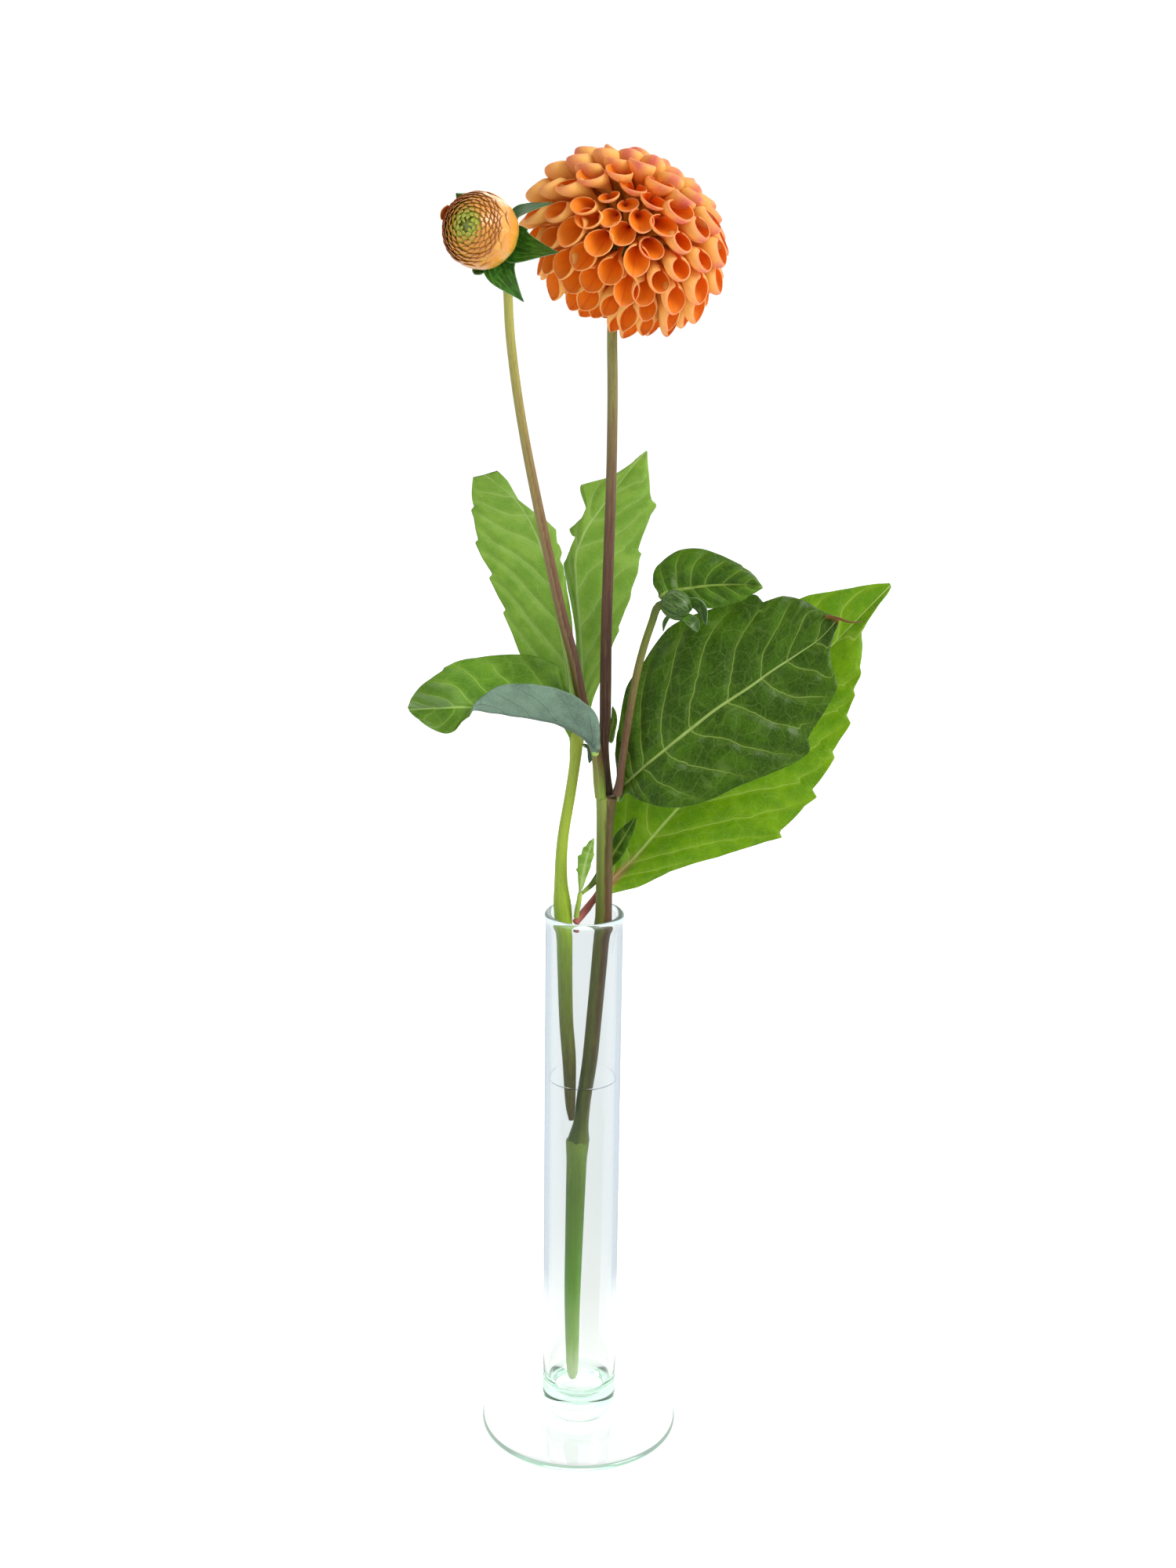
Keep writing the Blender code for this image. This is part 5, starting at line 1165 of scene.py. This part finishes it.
def bud():
    g = np.random.default_rng(11)
    right = unit(np.cross((0, 0, 1), BUD_A))
    up = np.cross(BUD_A, right)
    if right[0] < 0:
        right = -right
    core, shell = Pile(), Pile()
    v, f, n = blob(BUD_C, BUD_A, (10.2, 9.6, 10.6))
    core.add(v, f, fa=np.stack([np.full(len(v), 0.3), np.zeros(len(v)), np.zeros(len(v))], 1),
             fb=np.stack([np.full(len(v), 0.5), np.full(len(v), -1.0), np.full(len(v), 3.0)], 1))
    total = 170
    for i in range(2, total):
        s = (i + 0.6) / total
        az = 137.508 * i + 40
        # the tips crowd to the small eye and reach further down on the left than on the right
        tip = (-4.5 + 74 * s ** 0.55 + 2.2 * (g.random() - 0.5)) * (1 - 0.20 * s * math.sin(math.radians(az)))
        radius = 10.15 + 1.55 * s ** 0.8 + 0.25 * g.random() * s
        wide = 1.9 + 3.0 * s
        span = 16 + 26 * s
        curl = 0.34 + 0.40 * smooth(s, 0.02, 0.3) - 0.30 * smooth(s, 0.6, 1.0)
        bud_petal(core, BUD_C, BUD_A, up, right, tip, az, span, radius, wide, g.random(), s * 0.85, curl + 0.12 * g.random(), 0.24, 12, 7)
    for i in range(26):
        az = 137.508 * i + 12
        tip = 60 + 0.9 * i - 17 * math.sin(math.radians(az)) + 4 * g.random()
        radius = 11.72 + 0.02 * i
        wide = 7.4 + 2.6 * g.random()
        bud_petal(shell, BUD_C, BUD_A, up, right, tip, az, 168 - tip, radius, wide, g.random(), 1.0, -0.05, 0.26, 34, 19, 0.25, 0.15)
    # one floret stands out at the upper left
    bud_petal(shell, BUD_C, BUD_A, up, right, 62, 292, 60, 12.0, 5.0, 0.3, 0.7, 1.6, 0.3, 24, 13)
    core.piece("v_bud_core", BUD, "bud_floret", ("bud_core",))
    shell.piece("v_bud_outer_florets", BUD, "bud_floret", ("bud_outer_florets",))
    # receptacle, bracts
    v, f, n = blob(BUD_C - BUD_A * (BUD_R + 0.6), BUD_A, (4.6, 1.8, 2.2))
    pile = Pile()
    pile.add(v, f, la=np.stack([np.full(len(v), 0.1), n[:, 0] * 0.3, np.ones(len(v))], 1), lc=v / 1.0)
    pile.piece("v_bud_receptacle", BRACT, "receptacle", ("bud_receptacle",))
    for k, (name, (base, middle, tip, half, face)) in enumerate(BRACTS.items()):
        pile = Pile()
        bract_blade(pile, [base, middle, tip], half, face, 3 + k, (BUD_C, BUD_R + 1.2), tipped=0.80)
        pile.piece("v_" + name, BRACT, "bract", (name,))


def side_bud():
    axis = unit((0.75, -0.35, -0.35))
    right = unit(np.cross((0, 0, 1), axis))
    up = np.cross(axis, right)
    pile = Pile()
    v, f, n = blob(SIDE_BUD, axis, (4.5, 5.2, 4.9))
    pile.add(v, f, la=np.stack([np.full(len(v), 0.35), (n @ up) * 0.3, np.ones(len(v))], 1), lc=v)
    # overlapping scales
    for i in range(9):
        az = 137.508 * i + 20
        tip = 12 + 4 * i
        t = np.linspace(0, 1, 26)
        q = np.sin(np.linspace(-1, 1, 15) * math.pi / 2)
        TT, QQ = np.meshgrid(t, q, indexing="ij")
        th = np.radians(tip + (150 - tip) * (1 - TT))
        w = 5.6 * np.sin(math.pi * np.clip(0.12 + 0.62 * TT, 0, 1)) ** 0.7 * np.sqrt(np.clip(1 - (TT.clip(0.6, 1) - 0.6) / 0.4, 0.004, 1) ** 0.8 + 0.0)
        rad = 4.62 + 0.03 * i
        ph = math.radians(az) + 0.5 * w * QQ / np.maximum(rad * np.sin(np.clip(th, 0.4, math.pi - 0.4)), 1.5)
        d = np.cos(th)[..., None] * axis + np.sin(th)[..., None] * (np.cos(ph)[..., None] * up + np.sin(ph)[..., None] * right)
        P = SIDE_BUD + (rad * (1 + 0.20 * np.cos(th) ** 2))[..., None] * d
        nrm = np.cross(P[13, 7] - P[12, 7], P[12, 8] - P[12, 7])
        if nrm @ d[12, 7] < 0:
            P, QQ = P[:, ::-1], QQ[:, ::-1]
        vv, ff, index, sd = slab(P, 0.26)
        pile.add(vv, ff, la=np.stack([0.3 + 0.6 * TT.ravel()[index], 0.55 * QQ.ravel()[index], sd], 1),
                 lc=np.stack([TT.ravel()[index] * 10, QQ.ravel()[index] * 3, np.full(len(index), i / 9)], 1))
    pile.piece("v_side_bud", BRACT_OLIVE, "bract", ("side_bud",))
    for name, (pts, half, face) in {
        "side_bud_bract_right": ([(33.0, -11.6, 327.6), (38.2, -14.2, 326.6), (40.2, -15.2, 319.8)], 2.4, (-0.5, -0.8, -0.2)),
        "side_bud_bract_middle": ([(31.8, -14.2, 323.6), (35.6, -17.0, 321.4), (37.4, -16.4, 317.8)], 2.0, (0.2, -0.9, 0.3)),
        "side_bud_bract_low": ([(29.2, -11.6, 324.4), (26.4, -10.7, 320.2), (25.8, -10.4, 316.6)], 0.7, (-0.2, -0.9, -0.2)),
    }.items():
        pile = Pile()
        bract_blade(pile, pts, half, face, 40 + len(name), n=30, m=15, thick=0.35, boat=0.3)
        pile.piece("v_" + name, BRACT_OLIVE, "bract", (name,))


# ================================================================ camera, stage and light
def mirrored(nt, path):
    """1 for what is seen in a reflection, 0 for what is seen directly or through glass, or lights a matt surface."""
    depth = nt.nodes.new("ShaderNodeMath")
    depth.operation = "SUBTRACT"
    nt.links.new(path.outputs["Ray Depth"], depth.inputs[0])
    nt.links.new(path.outputs["Transmission Depth"], depth.inputs[1])
    matt = nt.nodes.new("ShaderNodeMath")
    matt.operation = "MULTIPLY_ADD"
    matt.use_clamp = True
    nt.links.new(path.outputs["Diffuse Depth"], matt.inputs[0])
    matt.inputs[1].default_value = -20.0
    nt.links.new(depth.outputs[0], matt.inputs[2])
    direct = nt.nodes.new("ShaderNodeMath")
    direct.operation = "SUBTRACT"
    direct.use_clamp = True
    nt.links.new(matt.outputs[0], direct.inputs[0])
    nt.links.new(path.outputs["Is Camera Ray"], direct.inputs[1])
    return direct.outputs[0]


def stage():
    cam = bpy.data.objects.new("camera", bpy.data.cameras.new("camera"))
    bpy.context.scene.collection.objects.link(cam)
    cam.data.lens, cam.data.sensor_width = 50.0, 36.0
    cam.data.clip_start, cam.data.clip_end = 0.02, 60.0
    p, r = math.radians(17.61464), math.radians(-0.67795)
    fwd = np.array((0, math.cos(p), -math.sin(p)))
    up0 = np.array((0, math.sin(p), math.cos(p)))
    x0 = np.array((1.0, 0, 0))
    right = math.cos(r) * x0 - math.sin(r) * up0
    up = math.sin(r) * x0 + math.cos(r) * up0
    m = Matrix.Identity(4)
    for k in range(3):
        m[k][0], m[k][1], m[k][2] = right[k], up[k], -fwd[k]
    m[0][3], m[1][3], m[2][3] = 0.00076, -0.73418, 0.49149
    cam.matrix_world = m
    bpy.context.scene.camera = cam

    me = bpy.data.meshes.new("floor")
    s = 20.0
    me.from_pydata([(-s, -s, -0.0004), (s, -s, -0.0004), (s, s, -0.0004), (-s, s, -0.0004)], [], [(0, 1, 2, 3)])
    floor = bpy.data.objects.new("floor", me)
    bpy.context.scene.collection.objects.link(floor)
    mat = bpy.data.materials.new("floor_white")
    mat.use_nodes = True
    nt = mat.node_tree
    b = nt.nodes["Principled BSDF"]
    b.inputs["Base Color"].default_value = (0.86, 0.86, 0.86, 1)
    b.inputs["Roughness"].default_value = 0.9
    b.inputs["Specular IOR Level"].default_value = 0.0
    b.inputs["Emission Color"].default_value = (1, 1, 1, 1)
    b.inputs["Emission Strength"].default_value = 0.34
    # mirrored in the glass the floor is dim, as the dark side of a studio is
    path = nt.nodes.new("ShaderNodeLightPath")
    dim = nt.nodes.new("ShaderNodeEmission")
    dim.inputs[0].default_value = (0.86, 0.92, 1.0, 1)
    # but not the floor right under the foot, which its edge gathers
    geo = nt.nodes.new("ShaderNodeNewGeometry")
    far = nt.nodes.new("ShaderNodeVectorMath")
    far.operation = "LENGTH"
    nt.links.new(geo.outputs["Position"], far.inputs[0])
    ring = nt.nodes.new("ShaderNodeMapRange")
    nt.links.new(far.outputs["Value"], ring.inputs[0])
    ring.inputs[1].default_value, ring.inputs[2].default_value = 0.07, 0.12
    # nor the floor behind the vase, which shines through the sides of the tube
    split = nt.nodes.new("ShaderNodeSeparateXYZ")
    nt.links.new(geo.outputs["Position"], split.inputs[0])
    front = nt.nodes.new("ShaderNodeMapRange")
    nt.links.new(split.outputs[1], front.inputs[0])
    front.inputs[1].default_value, front.inputs[2].default_value = -0.12, 0.02
    front.inputs[3].default_value, front.inputs[4].default_value = 0.30, 0.88
    nt.links.new(front.outputs[0], dim.inputs[1])
    share = nt.nodes.new("ShaderNodeMath")
    share.operation = "MULTIPLY"
    nt.links.new(mirrored(nt, path), share.inputs[0])
    nt.links.new(ring.outputs[0], share.inputs[1])
    both = nt.nodes.new("ShaderNodeMixShader")
    nt.links.new(share.outputs[0], both.inputs[0])
    nt.links.new(b.outputs[0], both.inputs[1])
    nt.links.new(dim.outputs[0], both.inputs[2])
    # through the glass the floor is plain white, so that the tint of the glass shows
    white = nt.nodes.new("ShaderNodeEmission")
    white.inputs[0].default_value = (1, 1, 1, 1)
    white.inputs[1].default_value = 1.0
    seen = nt.nodes.new("ShaderNodeMath")
    seen.operation = "MULTIPLY_ADD"
    seen.use_clamp = True
    nt.links.new(path.outputs["Diffuse Depth"], seen.inputs[0])
    seen.inputs[1].default_value = -20.0
    nt.links.new(path.outputs["Transmission Depth"], seen.inputs[2])
    plain = nt.nodes.new("ShaderNodeMath")
    plain.operation = "SUBTRACT"
    plain.use_clamp = True
    nt.links.new(seen.outputs[0], plain.inputs[0])
    nt.links.new(mirrored(nt, path), plain.inputs[1])
    last = nt.nodes.new("ShaderNodeMixShader")
    nt.links.new(plain.outputs[0], last.inputs[0])
    nt.links.new(both.outputs[0], last.inputs[1])
    nt.links.new(white.outputs[0], last.inputs[2])
    nt.links.new(last.outputs[0], nt.nodes["Material Output"].inputs["Surface"])
    me.materials.append(mat)

    world = bpy.data.worlds.new("studio")
    world.use_nodes = True
    bpy.context.scene.world = world
    nt = world.node_tree
    bg = nt.nodes["Background"]
    # white behind, less light from the side of the room, and that side nearly dark in reflections
    geo = nt.nodes.new("ShaderNodeTexCoord")
    sep = nt.nodes.new("ShaderNodeSeparateXYZ")
    nt.links.new(geo.outputs["Generated"], sep.inputs[0])
    path = nt.nodes.new("ShaderNodeLightPath")
    ramps = []
    for low, high in ((0.62, 1.05), (0.30, 1.0)):
        ramp = nt.nodes.new("ShaderNodeMapRange")
        nt.links.new(sep.outputs[1], ramp.inputs[0])
        ramp.inputs[1].default_value, ramp.inputs[2].default_value = -0.85, 0.25
        ramp.inputs[3].default_value, ramp.inputs[4].default_value = low, high
        ramps.append(ramp.outputs[0])
    pick = nt.nodes.new("ShaderNodeMix")
    pick.data_type = "FLOAT"
    nt.links.new(mirrored(nt, path), pick.inputs[0])
    nt.links.new(ramps[0], pick.inputs[2])
    nt.links.new(ramps[1], pick.inputs[3])
    bg.inputs[0].default_value = (1, 1, 1, 1)
    # the room is brighter on the right
    across = nt.nodes.new("ShaderNodeMapRange")
    nt.links.new(sep.outputs[0], across.inputs[0])
    across.inputs[1].default_value, across.inputs[2].default_value = -0.8, 0.8
    across.inputs[3].default_value, across.inputs[4].default_value = 0.62, 1.16
    soft = nt.nodes.new("ShaderNodeMix")
    soft.data_type = "FLOAT"
    nt.links.new(path.outputs["Is Diffuse Ray"], soft.inputs[0])
    soft.inputs[2].default_value = 1.0
    nt.links.new(across.outputs[0], soft.inputs[3])
    both = nt.nodes.new("ShaderNodeMath")
    both.operation = "MULTIPLY"
    nt.links.new(pick.outputs[0], both.inputs[0])
    nt.links.new(soft.outputs[0], both.inputs[1])
    nt.links.new(both.outputs[0], bg.inputs[1])

    def area(name, place, aim, size, power, colour=(1, 1, 1)):
        light = bpy.data.lights.new(name, "AREA")
        light.shape = "RECTANGLE"
        light.size, light.size_y = size
        light.energy = power
        light.color = colour
        ob = bpy.data.objects.new(name, light)
        bpy.context.scene.collection.objects.link(ob)
        z = unit(np.array(place, float) - np.array(aim, float))
        x = unit(np.cross((0, 0, 1), z))
        y = np.cross(z, x)
        mm = Matrix.Identity(4)
        for k in range(3):
            mm[k][0], mm[k][1], mm[k][2] = x[k], y[k], z[k]
        mm[0][3], mm[1][3], mm[2][3] = place
        ob.matrix_world = mm

    area("key", (1.15, -0.62, 1.25), (0.02, 0, 0.38), (0.8, 0.8), 22.0, (1.0, 0.985, 0.96))
    area("fill", (-0.9, -1.2, 0.7), (0, 0, 0.3), (0.9, 1.2), 2.0, (0.97, 0.985, 1.0))
    area("back", (0.3, 1.3, 1.0), (0, 0, 0.35), (1.4, 1.2), 6.0)
    view = bpy.context.scene.view_settings
    view.view_transform = "Standard"
    view.look = "None"


stage()
vase()
stems()
for leaf_name in LEAVES:
    leaf(leaf_name)
bloom()
receptacle()
bud()
side_bud()
